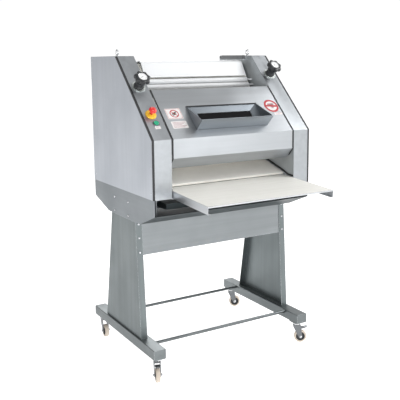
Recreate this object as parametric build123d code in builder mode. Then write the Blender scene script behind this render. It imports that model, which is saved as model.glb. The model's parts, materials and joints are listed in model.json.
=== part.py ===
"""Baguette sheeter-moulder on a castored stand.

X runs across the machine, Y towards the back and Z up. The origin is on the floor, under the middle.
"""

import os
from math import atan2, cos, degrees, radians, sin, sqrt, tan

from build123d import *

os.makedirs("parts", exist_ok=True)

# ---------------------------------------------------------------- driving dimensions (mm)

# housing side profile: upright front, 45 degree slope, flat top, upright back
HALF_WIDTH = 500
BACK = 540
FRONT = -235
BOTTOM = 985
KNEE = 1290
TOP = 1710
TOP_FRONT = FRONT + TOP - KNEE
SHEET = 2

# inner walls carry the rollers
WALL_IN = 392
WALL_OUT = 398
BEARING_OUT = 418
SHAFT_R = 12
RUN_CLEARANCE = 0.05

# base and stand
BASE_HALF = 498
BASE_LOW = 830
LIP_Z = 900
FOOT_TOP = 185
FOOT_LOW = 130
FOOT_MID = 475
FOOT_WIDTH = 70
FOOT_FRONT = -227
FOOT_BACK = 575

# receiving table
TABLE_FRONT = -575
TABLE_FRONT_Z = 1003
TABLE_TILT = 3.37
TABLE_LENGTH = 425
TABLE_HALF = 387

# castors
WHEEL_R = 37.5
TRAIL = 22
CASTOR_PLACES = {
    "front_left": (-472, -182, -110),
    "front_right": (472, -182, -31),
    "rear_left": (-472, 530, -95),
    "rear_right": (472, 530, -31),
}

# belts and rollers
BELT_TILT = 58.6
RUN_TILT = 16.6
TOP_ROLLER = (295, 1629)
FRONT_IDLER = (TOP_ROLLER[0] - 550 * cos(radians(BELT_TILT)), TOP_ROLLER[1] - 550 * sin(radians(BELT_TILT)))
REAR_IDLER = (FRONT_IDLER[0] + 290 * cos(radians(RUN_TILT)), FRONT_IDLER[1] + 290 * sin(radians(RUN_TILT)))
BELT_ROLLER_R = 36
BELT_THICK = 4
BELT_HALF = 382
NOSE = (-150, 1036)
NOSE_R = 4
NOSE_PIN_R = 3
TAIL_R = 22
RUN_LENGTH = 400
FRONT_ROLLER = (-150, 1240)
NIP_GAP = 5
SHEETING_R = 42
NIP_TILT = 60
REAR_TRAVEL = (-4, 12)
REAR_ROLLER = (
    FRONT_ROLLER[0] + (2 * SHEETING_R + NIP_GAP) * cos(radians(NIP_TILT)),
    FRONT_ROLLER[1] + (2 * SHEETING_R + NIP_GAP) * sin(radians(NIP_TILT)),
)
SLOT_MID = (
    REAR_ROLLER[0] + sum(REAR_TRAVEL) / 2 * cos(radians(NIP_TILT)),
    REAR_ROLLER[1] + sum(REAR_TRAVEL) / 2 * sin(radians(NIP_TILT)),
)
MOTOR = (440, 1100)
DRIVE_R = 35
DRIVEN_R = 45

# controls on the slope: distance up the slope from the knee
LEFT_CONTROL_X = -445
RIGHT_CONTROL_X = 447
LEFT_WHEEL_UP = 364
RIGHT_WHEEL_UP = 436
ESTOP_UP = 170
START_X = -437
START_UP = 110

# lifting eyes on the top of the side panels
EYE_PLACES = (-447, 429)
EYE_Y = 280
EYE_STEM_R = 4

# guard over the slope, hinged behind its top edge
GUARD_TOP_UP = 340
GUARD_TOP = (FRONT + GUARD_TOP_UP * sqrt(0.5), KNEE + GUARD_TOP_UP * sqrt(0.5))
GUARD_PIVOT = (GUARD_TOP[0] + 10, GUARD_TOP[1] - 10)
PIN_R = 5

# hopper on the guard, measured along the slope
HOPPER_MIDDLE = 6
HOPPER_HALF = 229
HOPPER_LOW = 50
HOPPER_HIGH = 214
HOPPER_PROUD = 75
THROAT_DEPTH = 38


# ---------------------------------------------------------------- helpers

def save(part, name):
    """Labels a finished piece and writes it."""
    part.label = name
    export_step(part, f"parts/{name}.step")


def fold(inset):
    """Knee and top corner of the housing profile, moved inwards by a sheet thickness."""
    knee = (FRONT + inset, KNEE + inset - inset * sqrt(2))
    top = (TOP_FRONT - inset + inset * sqrt(2), TOP - inset)
    return knee, top


def slope_at(z, inset=0.0):
    """Y of the slope's surface at a height, moved inwards by an inset."""
    return z + FRONT - KNEE + inset * sqrt(2)


def tilted(origin, angle):
    """Plane facing -X to +X whose local x runs back and up at an angle, and local y across it."""
    a = radians(angle)
    return Plane(origin=origin, x_dir=(0, cos(a), sin(a)), z_dir=(1, 0, 0))


SLOPE = Plane(origin=(0, FRONT, KNEE), x_dir=(1, 0, 0), z_dir=(0, -sqrt(0.5), sqrt(0.5)))
SLOPE_OUT = Axis((0, FRONT, KNEE), (0, -1, 1))


def slope_side(x):
    """Plane across the machine at x: local x runs up the slope, local y stands out of it."""
    return tilted((x, FRONT, KNEE), 45)


def roller(place, radius, half_length, journal_out=BEARING_OUT):
    """A roller with a journal at each end, along X."""
    with BuildPart() as piece:
        with BuildSketch(Plane.YZ.offset(-half_length)):
            with Locations(place):
                Circle(radius)
        extrude(amount=2 * half_length)
        ends = piece.edges().filter_by(GeomType.CIRCLE)
        chamfer(ends, 1.5)
        with BuildSketch(Plane.YZ.offset(-journal_out)):
            with Locations(place):
                Circle(SHAFT_R if radius > SHAFT_R else radius - 3)
        extrude(amount=2 * journal_out)
    return piece.part


def loop_outline(circles, grow):
    """A closed band's outline round a list of (y, z, radius), grown outwards."""
    for y, z, radius in circles:
        with Locations((y, z)):
            Circle(radius + grow)
    make_hull()


# ---------------------------------------------------------------- stand

FOOT_WALL = 3
FOOT_HEIGHT = FOOT_TOP - FOOT_LOW
with BuildPart() as foot_beams:
    with BuildSketch(Plane.XZ.offset(-FOOT_FRONT)):
        with Locations((FOOT_MID, FOOT_TOP - FOOT_HEIGHT / 2)):
            RectangleRounded(FOOT_WIDTH, FOOT_HEIGHT, 4)
    extrude(amount=-(FOOT_BACK - FOOT_FRONT))
    with BuildSketch(Plane.XZ.offset(-(FOOT_FRONT + FOOT_WALL))):
        with Locations((FOOT_MID, FOOT_TOP - FOOT_HEIGHT / 2)):
            RectangleRounded(FOOT_WIDTH - 2 * FOOT_WALL, FOOT_HEIGHT - 2 * FOOT_WALL, 2)
    extrude(amount=-(FOOT_BACK - FOOT_FRONT - 2 * FOOT_WALL), mode=Mode.SUBTRACT)
    mirror(about=Plane.YZ)
save(foot_beams.part, "foot_beams")

LEG_OUT = BASE_HALF
LEG_FLANGE = 38
LEG_SHEET = 3
LEG_TOP_FRONT = -10
LEG_TOP_BACK = 300
LEG_LOW_FRONT = -50
LEG_LOW_BACK = 415
LEG_OUTLINE = [
    (LEG_LOW_FRONT, FOOT_TOP),
    (LEG_LOW_BACK, FOOT_TOP),
    (LEG_TOP_BACK, BASE_LOW),
    (LEG_TOP_FRONT, BASE_LOW),
]


def leg_front(z):
    """Y of a leg's front face at a height."""
    return LEG_TOP_FRONT + (LEG_LOW_FRONT - LEG_TOP_FRONT) * (BASE_LOW - z) / (BASE_LOW - FOOT_TOP)


def leg_back(z):
    """Y of a leg's back face at a height."""
    return LEG_TOP_BACK + (LEG_LOW_BACK - LEG_TOP_BACK) * (BASE_LOW - z) / (BASE_LOW - FOOT_TOP)


with BuildPart() as legs:
    with BuildSketch(Plane.YZ.offset(LEG_OUT - LEG_FLANGE)):
        with BuildLine():
            Polyline(*LEG_OUTLINE, close=True)
        make_face()
    extrude(amount=LEG_FLANGE)
    with BuildSketch(Plane.YZ.offset(LEG_OUT - LEG_FLANGE)):
        with BuildLine():
            Polyline(*LEG_OUTLINE, close=True)
        make_face()
        offset(amount=-LEG_SHEET, kind=Kind.INTERSECTION)
    extrude(amount=LEG_FLANGE - LEG_SHEET, mode=Mode.SUBTRACT)
    mirror(about=Plane.YZ)
save(legs.part, "legs")

BEAM_LOW = 645
BEAM_HALF = LEG_OUT - LEG_SHEET
BEAM_LIP = 22
BEAM_GAP = LEG_SHEET + 0.2


def beam_outline(face, step):
    """C section of a cross beam: its face follows a leg's edge, its lips point inwards."""
    top = BASE_LOW - LEG_SHEET
    low = BEAM_LOW
    return [
        (face(top) + step * BEAM_GAP, top),
        (face(top) + step * BEAM_LIP, top),
        (face(top) + step * BEAM_LIP, top - LEG_SHEET),
        (face(top) + step * (BEAM_GAP + LEG_SHEET), top - LEG_SHEET),
        (face(low) + step * (BEAM_GAP + LEG_SHEET), low + LEG_SHEET),
        (face(low) + step * BEAM_LIP, low + LEG_SHEET),
        (face(low) + step * BEAM_LIP, low),
        (face(low) + step * BEAM_GAP, low),
    ]


with BuildPart() as cross_beams:
    for face, step in ((leg_front, 1), (leg_back, -1)):
        with BuildSketch(Plane.YZ.offset(-BEAM_HALF)):
            with BuildLine():
                Polyline(*beam_outline(face, step), close=True)
            make_face()
        extrude(amount=2 * BEAM_HALF)
save(cross_beams.part, "cross_beams")

ROD_R = 8.5
ROD_Z = 172
ROD_HALF = FOOT_MID - FOOT_WIDTH / 2
with BuildPart() as tie_rods:
    with BuildSketch(Plane.YZ.offset(-ROD_HALF)):
        with Locations((-104, ROD_Z), (426, ROD_Z)):
            Circle(ROD_R)
    extrude(amount=2 * ROD_HALF)
save(tie_rods.part, "tie_rods")

BOLT_HEAD_R = 6.5
BOLT_HEAD = 4
LEG_LEAN = degrees(atan2(LEG_TOP_FRONT - LEG_LOW_FRONT, BASE_LOW - FOOT_TOP))
with BuildPart() as stand_bolts:
    for height in (817, 742, 663):
        lean = Plane(
            origin=(0, leg_front(height), height),
            x_dir=(1, 0, 0),
            z_dir=(0, -cos(radians(LEG_LEAN)), sin(radians(LEG_LEAN))),
        )
        with BuildSketch(lean):
            with Locations((LEG_OUT - LEG_FLANGE / 2, 0)):
                Circle(BOLT_HEAD_R)
        extrude(amount=BOLT_HEAD)
    with BuildSketch(Plane.YZ.offset(BASE_HALF)):
        with Locations((75, 850), (255, 850), (75, 927), (255, 927)):
            Circle(BOLT_HEAD_R)
    extrude(amount=BOLT_HEAD - 2)
    mirror(about=Plane.YZ)
save(stand_bolts.part, "stand_bolts")

# ---------------------------------------------------------------- base

BASE_SIDE = 4
BASE_CORNERS = [(BACK, LIP_Z - 10), (345, BASE_LOW), (-65, BASE_LOW), (FRONT, LIP_Z)]
with BuildPart() as base_sides:
    with BuildSketch(Plane.YZ.offset(BASE_HALF - BASE_SIDE)):
        with BuildLine():
            Polyline((BACK, BOTTOM), *BASE_CORNERS, (FRONT, BOTTOM), close=True)
        make_face()
    extrude(amount=BASE_SIDE)
    mirror(about=Plane.YZ)
save(base_sides.part, "base_sides")

PAN_HALF = BASE_HALF - BASE_SIDE
with BuildPart() as base_pan:
    with BuildSketch(Plane.YZ.offset(-PAN_HALF)):
        with BuildLine():
            Polyline(
                *BASE_CORNERS,
                (FRONT + 14, LIP_Z),
                (FRONT + 14, LIP_Z - SHEET),
                (FRONT + 5, LIP_Z - SHEET),
                (-64.5, BASE_LOW + SHEET),
                (344.5, BASE_LOW + SHEET),
                (BACK, LIP_Z - 10 + SHEET),
                close=True,
            )
        make_face()
    extrude(amount=2 * PAN_HALF)
save(base_pan.part, "base_pan")

TRAY_HALF = 368
TRAY_FRONT = -120
TRAY_BACK = 325
TRAY_LOW = 903
TRAY_DEEP = 32
with BuildPart() as crumb_tray:
    with BuildSketch(Plane.XY.offset(TRAY_LOW)):
        with Locations((0, (TRAY_FRONT + TRAY_BACK) / 2)):
            RectangleRounded(2 * TRAY_HALF, TRAY_BACK - TRAY_FRONT, 6)
    extrude(amount=TRAY_DEEP)
    offset(amount=-1.5, openings=crumb_tray.faces().sort_by(Axis.Z)[-1])
    with BuildSketch(Plane.XY.offset(TRAY_LOW + TRAY_DEEP - 2)):
        with Locations((0, TRAY_FRONT - 8)):
            RectangleRounded(160, 17, 4)
    extrude(amount=2)
save(crumb_tray.part, "crumb_tray")

# ---------------------------------------------------------------- housing

WALL_KNEE, WALL_TOP = fold(SHEET)


def tail_centre():
    """Centre of the delivery belt's rear roller, from the slope of its upper run."""
    run = radians(RUN_TILT)
    rise = TAIL_R - NOSE_R
    return (
        NOSE[0] + RUN_LENGTH * cos(run) + rise * sin(run),
        NOSE[1] + RUN_LENGTH * sin(run) - rise * cos(run),
    )


TAIL = tail_centre()
LEVER_Y = 238
LEVER_LOW = 1690
LEVER_HIGH = 1712
LEVER_PIVOT_X = 370
LEVER_END_X = 214
LEVER_HALF = 6
FIXED_SHAFTS = [TOP_ROLLER, FRONT_IDLER, REAR_IDLER, FRONT_ROLLER, TAIL]
with BuildPart() as inner_walls:
    with BuildSketch(Plane.YZ.offset(WALL_IN)):
        with BuildLine():
            Polyline(
                (FRONT + SHEET, BOTTOM),
                WALL_KNEE,
                WALL_TOP,
                (BACK - SHEET, TOP - SHEET),
                (BACK - SHEET, BOTTOM),
                (340, BOTTOM),
                (340, BASE_LOW + SHEET),
                (-60, BASE_LOW + SHEET),
                (-60, BOTTOM),
                close=True,
            )
        make_face()
        with Locations(*FIXED_SHAFTS, MOTOR):
            Circle(SHAFT_R + 1, mode=Mode.SUBTRACT)
        with Locations(GUARD_PIVOT):
            Circle(PIN_R + RUN_CLEARANCE, mode=Mode.SUBTRACT)
        with Locations(NOSE):
            Circle(NOSE_PIN_R, mode=Mode.SUBTRACT)
        with Locations(SLOT_MID):
            slot_long = REAR_TRAVEL[1] - REAR_TRAVEL[0]
            SlotCenterToCenter(slot_long, 2 * SHAFT_R + 4, rotation=NIP_TILT, mode=Mode.SUBTRACT)
    extrude(amount=WALL_OUT - WALL_IN)
    mirror(about=Plane.YZ)
    # bracket and pin of the release lever
    with BuildSketch(Plane.XY.offset(LEVER_LOW - 5)):
        with Locations(((LEVER_PIVOT_X + WALL_IN - 11) / 2, LEVER_Y)):
            Rectangle(WALL_IN - LEVER_PIVOT_X + 13, 24)
    extrude(amount=4.5)
    with BuildSketch(Plane.XY.offset(LEVER_LOW - 5)):
        with Locations((LEVER_PIVOT_X, LEVER_Y)):
            Circle(PIN_R)
    extrude(amount=LEVER_HIGH - LEVER_LOW + 6)
save(inner_walls.part, "inner_walls")

TRIM = 8
TRIM_IN = 491
COVER_LIP = 12


def cover_outline(inset):
    """Outline of a side cover: it starts behind the trim at the front and stops under the top."""
    edge = TRIM + inset
    knee = fold(edge)[0]
    top = TOP - SHEET - inset
    return [
        (FRONT + edge, BOTTOM + inset),
        knee,
        (slope_at(top, edge), top),
        (BACK - SHEET - inset, top),
        (BACK - SHEET - inset, BOTTOM + inset),
    ]


for name, side in (("left_side_cover", -1), ("right_side_cover", 1)):
    with BuildPart() as side_cover:
        with BuildSketch(Plane.YZ.offset(side * HALF_WIDTH)):
            with BuildLine():
                Polyline(*cover_outline(0), close=True)
            make_face()
        extrude(amount=-side * COVER_LIP)
        with BuildSketch(Plane.YZ.offset(side * (HALF_WIDTH - SHEET))):
            with BuildLine():
                Polyline(*cover_outline(SHEET), close=True)
            make_face()
        extrude(amount=-side * COVER_LIP, mode=Mode.SUBTRACT)
    save(side_cover.part, name)


SPINDLE_R = 8
BUTTON_R = 14
BEZEL_R = 17.5


def panel(side, wheel_x, wheel_up, eye_x):
    """Front strip, slope strip and top of one side, folded from one sheet."""
    with BuildPart() as piece:
        with BuildSketch(Plane.YZ.offset(side * WALL_IN)):
            with BuildLine():
                Polyline(
                    (FRONT, BOTTOM),
                    (FRONT, KNEE),
                    (TOP_FRONT, TOP),
                    (BACK, TOP),
                    (BACK, TOP - SHEET),
                    WALL_TOP,
                    WALL_KNEE,
                    (FRONT + SHEET, BOTTOM),
                    close=True,
                )
            make_face()
        extrude(amount=side * (TRIM_IN - WALL_IN))
        with BuildSketch(Plane.XY.offset(TOP - SHEET)):
            with Locations((side * (TRIM_IN + HALF_WIDTH) / 2, (TOP_FRONT + 3 + BACK) / 2)):
                Rectangle(HALF_WIDTH - TRIM_IN, BACK - TOP_FRONT - 3)
        extrude(amount=SHEET)
        with BuildSketch(SLOPE.offset(-2 * SHEET)):
            with Locations((wheel_x, wheel_up)):
                Circle(SPINDLE_R + 1)
        extrude(amount=3 * SHEET, mode=Mode.SUBTRACT)
        with BuildSketch(Plane.XY.offset(TOP - 2 * SHEET)):
            with Locations((eye_x, EYE_Y)):
                Circle(EYE_STEM_R + 0.2)
        extrude(amount=3 * SHEET, mode=Mode.SUBTRACT)
    return piece.part


with BuildPart() as left_panel:
    add(panel(-1, LEFT_CONTROL_X, LEFT_WHEEL_UP, EYE_PLACES[0]))
    with BuildSketch(SLOPE):
        with Locations((START_X, START_UP)):
            Circle(BEZEL_R)
    extrude(amount=3)
    with BuildSketch(SLOPE.offset(-2 * SHEET)):
        with Locations((START_X, START_UP)):
            Circle(BUTTON_R + 0.3)
    extrude(amount=4 * SHEET, mode=Mode.SUBTRACT)
save(left_panel.part, "left_panel")
save(panel(1, RIGHT_CONTROL_X, RIGHT_WHEEL_UP, EYE_PLACES[1]), "right_panel")

TRIM_PROUD = 1.5
TRIM_TOP = TOP - SHEET
SEAL_IN = 388.5


def run_point(distance, lift):
    """A point a distance along the delivery belt's upper run, lifted off it."""
    run = radians(RUN_TILT)
    rise = NOSE_R + BELT_THICK / 2 + lift
    return (
        NOSE[0] + distance * cos(run) - rise * sin(run),
        NOSE[1] + distance * sin(run) + rise * cos(run),
    )


def table_point(back, lift):
    """A point at a y on the table's surface, lifted off it."""
    return (back, TABLE_FRONT_Z + (back - TABLE_FRONT) * tan(radians(TABLE_TILT)) + lift)


with BuildPart() as edge_trims:
    with BuildSketch(Plane.YZ.offset(TRIM_IN)):
        with BuildLine():
            Polyline(
                (FRONT - TRIM_PROUD, BOTTOM),
                fold(-TRIM_PROUD)[0],
                (slope_at(TRIM_TOP, -TRIM_PROUD), TRIM_TOP),
                (slope_at(TRIM_TOP, TRIM), TRIM_TOP),
                fold(TRIM)[0],
                (FRONT + TRIM, BOTTOM),
                close=True,
            )
        make_face()
    extrude(amount=HALF_WIDTH - TRIM_IN)
    with BuildSketch(Plane.YZ.offset(SEAL_IN)):
        with BuildLine():
            Polyline(
                table_point(FRONT + 3, 3),
                table_point(-185, 3),
                run_point(18, 2),
                run_point(330, 2),
                run_point(330, 11),
                run_point(16, 11),
                table_point(-188, 12),
                table_point(FRONT + 3, 12),
                close=True,
            )
        make_face()
    extrude(amount=WALL_IN - SEAL_IN)
    mirror(about=Plane.YZ)
save(edge_trims.part, "edge_trims")

HOOD_BACK_Z = 1640
GLAND_X = -430
GLAND_Z = 1030
GLAND_R = 10
with BuildPart() as rear_cover:
    with BuildSketch(Plane.XZ.offset(-(BACK - SHEET))):
        with BuildLine():
            Polyline(
                (-HALF_WIDTH, BOTTOM),
                (HALF_WIDTH, BOTTOM),
                (HALF_WIDTH, TOP - SHEET),
                (WALL_IN, TOP - SHEET),
                (WALL_IN, HOOD_BACK_Z),
                (-WALL_IN, HOOD_BACK_Z),
                (-WALL_IN, TOP - SHEET),
                (-HALF_WIDTH, TOP - SHEET),
                close=True,
            )
        make_face()
        with Locations((0, 1120), (0, 1500)):
            with GridLocations(110, 22, 5, 5):
                SlotOverall(80, 6, mode=Mode.SUBTRACT)
        with Locations((GLAND_X, GLAND_Z)):
            Circle(GLAND_R + 0.2, mode=Mode.SUBTRACT)
    extrude(amount=-SHEET)
save(rear_cover.part, "rear_cover")

GLAND_BORE = 5
with BuildPart() as cable_gland:
    with BuildSketch(Plane.XZ.offset(-(BACK - 12))):
        with Locations((GLAND_X, GLAND_Z)):
            Circle(GLAND_R)
    extrude(amount=-12)
    with BuildSketch(Plane.XZ.offset(-BACK)):
        with Locations((GLAND_X, GLAND_Z)):
            RegularPolygon(14, 6)
    extrude(amount=-7)
    with BuildSketch(Plane.XZ.offset(-(BACK + 7))):
        with Locations((GLAND_X, GLAND_Z)):
            Circle(12)
    extrude(amount=-16)
    chamfer(cable_gland.edges().sort_by(Axis.Y)[-1], 3)
    with BuildSketch(Plane.XZ.offset(-(BACK - 12))):
        with Locations((GLAND_X, GLAND_Z)):
            Circle(GLAND_BORE)
    extrude(amount=-35, mode=Mode.SUBTRACT)
save(cable_gland.part, "cable_gland")

TIE_R = 12
with BuildPart() as cross_ties:
    with BuildSketch(Plane.YZ.offset(-WALL_IN)):
        with Locations((490, 1560), (490, 1000), (330, 1010)):
            Circle(TIE_R)
    extrude(amount=2 * WALL_IN)
save(cross_ties.part, "cross_ties")

EYE_OUT_R = 18
EYE_HOLE_R = 10
EYE_THICK = 8
EYE_Z = TOP + 4 + EYE_OUT_R
with BuildPart() as lifting_eyes:
    for eye_x in EYE_PLACES:
        for low, high, radius in ((TOP, TOP + 6, 10), (TOP - 12, TOP, EYE_STEM_R)):
            with BuildSketch(Plane.XY.offset(low)):
                with Locations((eye_x, EYE_Y)):
                    Circle(radius)
            extrude(amount=high - low)
        with BuildSketch(Plane.YZ.offset(eye_x - EYE_THICK / 2)):
            with Locations((EYE_Y, EYE_Z)):
                Circle(EYE_OUT_R)
        extrude(amount=EYE_THICK)
        with BuildSketch(Plane.YZ.offset(eye_x - EYE_OUT_R)):
            with Locations((EYE_Y, EYE_Z)):
                Circle(EYE_HOLE_R)
        extrude(amount=2 * EYE_OUT_R, mode=Mode.SUBTRACT)
save(lifting_eyes.part, "lifting_eyes")

BEARING_SIDE = 58
with BuildPart() as roller_bearings:
    with BuildSketch(Plane.YZ.offset(WALL_OUT)):
        with Locations(*FIXED_SHAFTS):
            RectangleRounded(BEARING_SIDE, BEARING_SIDE, 8)
            Circle(SHAFT_R + RUN_CLEARANCE, mode=Mode.SUBTRACT)
    extrude(amount=6)
    with BuildSketch(Plane.YZ.offset(WALL_OUT + 6)):
        with Locations(*FIXED_SHAFTS):
            Circle(24)
            Circle(SHAFT_R + RUN_CLEARANCE, mode=Mode.SUBTRACT)
    extrude(amount=BEARING_OUT - WALL_OUT - 8)
    mirror(about=Plane.YZ)
save(roller_bearings.part, "roller_bearings")

# white cover over the top of the moulding belt, and two guide bars under its front edge

COVER_HALF = 340
COVER_MIDDLE = 14
COVER_SHEET = 3
COVER_FOOT = (144, 1528)


def cover_point(distance, depth):
    """A point a distance up the cover's front plane and a depth behind it."""
    tilt = radians(BELT_TILT)
    return (
        COVER_FOOT[0] + distance * cos(tilt) + depth * sin(tilt),
        COVER_FOOT[1] + distance * sin(tilt) - depth * cos(tilt),
    )


COVER_LOW = cover_point(75, COVER_SHEET / 2)
COVER_HIGH = cover_point(163, COVER_SHEET / 2)
with BuildPart() as belt_cover:
    with BuildSketch(Plane.YZ.offset(COVER_MIDDLE - COVER_HALF)):
        with BuildLine():
            front_edge = Line(COVER_LOW, COVER_HIGH)
            crown = JernArc(start=COVER_HIGH, tangent=front_edge % 1, radius=32, arc_size=-BELT_TILT - 7)
            Line(crown @ 1, (BACK - SHEET - 0.6, HOOD_BACK_Z + 1))
        trace(line_width=COVER_SHEET)
    extrude(amount=2 * COVER_HALF)
save(belt_cover.part, "belt_cover")

BAR_R = 14.5
BAR_SHAFT_R = 6
GUIDE_BARS = [cover_point(55, BAR_R), cover_point(20, BAR_R)]
with BuildPart() as guide_bars:
    with BuildSketch(Plane.YZ.offset(COVER_MIDDLE - COVER_HALF - 3)):
        with Locations(*GUIDE_BARS):
            Circle(BAR_R)
    extrude(amount=2 * COVER_HALF + 6)
    chamfer(guide_bars.edges().filter_by(GeomType.CIRCLE), 2)
    with BuildSketch(Plane.YZ.offset(-WALL_IN)):
        with Locations(*GUIDE_BARS):
            Circle(BAR_SHAFT_R)
    extrude(amount=2 * WALL_IN)
save(guide_bars.part, "guide_bars")

# ---------------------------------------------------------------- guard and hopper

GUARD_HALF = 381
BAND_LOW = 1190
BEVEL = (FRONT + 50, BAND_LOW - 57)
LUG_R = 9
with BuildPart() as front_guard:
    with BuildSketch(Plane.YZ.offset(-GUARD_HALF)):
        with BuildLine():
            Polyline(
                BEVEL,
                (FRONT, BAND_LOW),
                (FRONT, KNEE),
                GUARD_TOP,
                (GUARD_TOP[0] + SHEET * sqrt(0.5), GUARD_TOP[1] - SHEET * sqrt(0.5)),
                WALL_KNEE,
                (FRONT + SHEET, BAND_LOW + 1),
                (BEVEL[0], BEVEL[1] + SHEET * 1.4),
                close=True,
            )
        make_face()
    extrude(amount=2 * GUARD_HALF)
    with BuildSketch(SLOPE.offset(-2 * SHEET)):
        with Locations((HOPPER_MIDDLE, (HOPPER_LOW + HOPPER_HIGH) / 2)):
            Rectangle(2 * HOPPER_HALF, HOPPER_HIGH - HOPPER_LOW)
    extrude(amount=3 * SHEET, mode=Mode.SUBTRACT)
    for side in (-1, 1):
        with BuildSketch(Plane.YZ.offset(side * (GUARD_HALF - 8))):
            with Locations(GUARD_PIVOT):
                Circle(LUG_R)
            with BuildLine():
                Polyline(
                    GUARD_TOP,
                    (GUARD_TOP[0] - 42, GUARD_TOP[1] - 42),
                    (GUARD_PIVOT[0] - 18, GUARD_PIVOT[1] - 30),
                    (GUARD_PIVOT[0] + LUG_R, GUARD_PIVOT[1]),
                    close=True,
                )
            make_face()
        extrude(amount=side * 4)
        with BuildSketch(Plane.YZ.offset(side * (GUARD_HALF - 8))):
            with Locations(GUARD_PIVOT):
                Circle(PIN_R)
        extrude(amount=side * (WALL_OUT + 2 - GUARD_HALF + 8))
save(front_guard.part, "front_guard")

GUARD_TRIM = 8
TRIM_END = 0.75
with BuildPart() as guard_trims:
    with BuildSketch(Plane.YZ.offset(GUARD_HALF)):
        with BuildLine():
            Polyline(
                (FRONT + 50 * TRIM_END - 1, BAND_LOW - 57 * TRIM_END - 1),
                (FRONT - TRIM_PROUD, BAND_LOW - 0.5),
                fold(-TRIM_PROUD)[0],
                (GUARD_TOP[0] - TRIM_PROUD * sqrt(0.5), GUARD_TOP[1] + TRIM_PROUD * sqrt(0.5)),
                (GUARD_TOP[0] + TRIM_PROUD * sqrt(0.5), GUARD_TOP[1] - TRIM_PROUD * sqrt(0.5)),
                fold(TRIM_PROUD)[0],
                (FRONT + TRIM_PROUD, BAND_LOW + 0.7),
                (FRONT + 50 * TRIM_END + 1.3, BAND_LOW - 57 * TRIM_END + 1.3),
                close=True,
            )
        make_face()
    extrude(amount=GUARD_TRIM)
    mirror(about=Plane.YZ)
save(guard_trims.part, "guard_trims")

HOPPER_SHEET = 2
HOPPER_FLANGE = 16
THROAT_BACK = (150, -24)
with BuildPart() as hopper:
    # flange that lies on the guard
    with BuildSketch(SLOPE):
        with Locations((HOPPER_MIDDLE, (HOPPER_LOW + HOPPER_HIGH) / 2)):
            Rectangle(2 * (HOPPER_HALF + HOPPER_FLANGE), HOPPER_HIGH - HOPPER_LOW + 2 * HOPPER_FLANGE)
            Rectangle(2 * HOPPER_HALF, HOPPER_HIGH - HOPPER_LOW, mode=Mode.SUBTRACT)
    extrude(amount=1.5)
    # side walls
    for side in (-1, 1):
        with BuildSketch(slope_side(HOPPER_MIDDLE + side * (HOPPER_HALF - 1))):
            with BuildLine():
                Polyline(
                    (HOPPER_LOW + 1, -THROAT_DEPTH),
                    (HOPPER_LOW + 27, -THROAT_DEPTH),
                    (THROAT_BACK[0] - 28, THROAT_BACK[1] + 2),
                    THROAT_BACK,
                    (HOPPER_HIGH - 1, 0),
                    (HOPPER_HIGH - 1, 1.5),
                    (HOPPER_LOW + 4, HOPPER_PROUD),
                    (HOPPER_LOW + 1, HOPPER_PROUD),
                    close=True,
                )
            make_face()
        extrude(amount=-side * HOPPER_SHEET)
    # front wall with a rolled lip, and back plate
    with BuildSketch(slope_side(HOPPER_MIDDLE - HOPPER_HALF + 1)):
        with BuildLine():
            Polyline(
                (HOPPER_LOW + 1, -THROAT_DEPTH),
                (HOPPER_LOW + 1, HOPPER_PROUD),
                (HOPPER_LOW + 5, HOPPER_PROUD),
                (HOPPER_LOW + 5, HOPPER_PROUD - HOPPER_SHEET),
                (HOPPER_LOW + 1 + HOPPER_SHEET, HOPPER_PROUD - HOPPER_SHEET),
                (HOPPER_LOW + 1 + HOPPER_SHEET, -THROAT_DEPTH),
                close=True,
            )
        make_face()
        with BuildLine():
            Polyline(
                THROAT_BACK,
                (HOPPER_HIGH - 1, 0),
                (HOPPER_HIGH - 1, 1.5),
                (HOPPER_HIGH - 4, 1.5),
                (THROAT_BACK[0] - 1, THROAT_BACK[1] + HOPPER_SHEET),
                close=True,
            )
        make_face()
    extrude(amount=2 * (HOPPER_HALF - 1))
    # join of the walls to the flange
    with BuildSketch(SLOPE):
        with Locations((HOPPER_MIDDLE, (HOPPER_LOW + HOPPER_HIGH) / 2)):
            Rectangle(2 * HOPPER_HALF + 2, HOPPER_HIGH - HOPPER_LOW + 2)
            Rectangle(2 * HOPPER_HALF - 4, HOPPER_HIGH - HOPPER_LOW - 4, mode=Mode.SUBTRACT)
    extrude(amount=1.5)
save(hopper.part, "hopper")

# ---------------------------------------------------------------- rollers, belts and drive

save(roller(FRONT_ROLLER, SHEETING_R, 378), "front_roller")
save(roller(REAR_ROLLER, SHEETING_R, 378, BEARING_OUT + 4), "rear_roller")
save(roller(FRONT_IDLER, BELT_ROLLER_R, BELT_HALF + 3), "front_idler")
save(roller(REAR_IDLER, BELT_ROLLER_R, BELT_HALF + 3), "rear_idler")
save(roller(TAIL, TAIL_R, BELT_HALF + 3), "tail_roller")

with BuildPart() as nose_roller:
    with BuildSketch(Plane.YZ.offset(-BELT_HALF - 3)):
        with Locations(NOSE):
            Circle(NOSE_R)
    extrude(amount=2 * BELT_HALF + 6)
    with BuildSketch(Plane.YZ.offset(-WALL_OUT)):
        with Locations(NOSE):
            Circle(NOSE_PIN_R - RUN_CLEARANCE)
    extrude(amount=2 * WALL_OUT)
save(nose_roller.part, "nose_roller")

CHAIN_X = 430
CHAIN_WIDTH = 8
with BuildPart() as top_roller:
    add(roller(TOP_ROLLER, BELT_ROLLER_R, BELT_HALF + 3))
    with BuildSketch(Plane.YZ.offset(BEARING_OUT)):
        with Locations(TOP_ROLLER):
            Circle(SHAFT_R - 2)
    extrude(amount=CHAIN_X - BEARING_OUT)
    with BuildSketch(Plane.YZ.offset(CHAIN_X)):
        with Locations(TOP_ROLLER):
            Circle(DRIVEN_R)
    extrude(amount=CHAIN_WIDTH)
save(top_roller.part, "top_roller")

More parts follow.
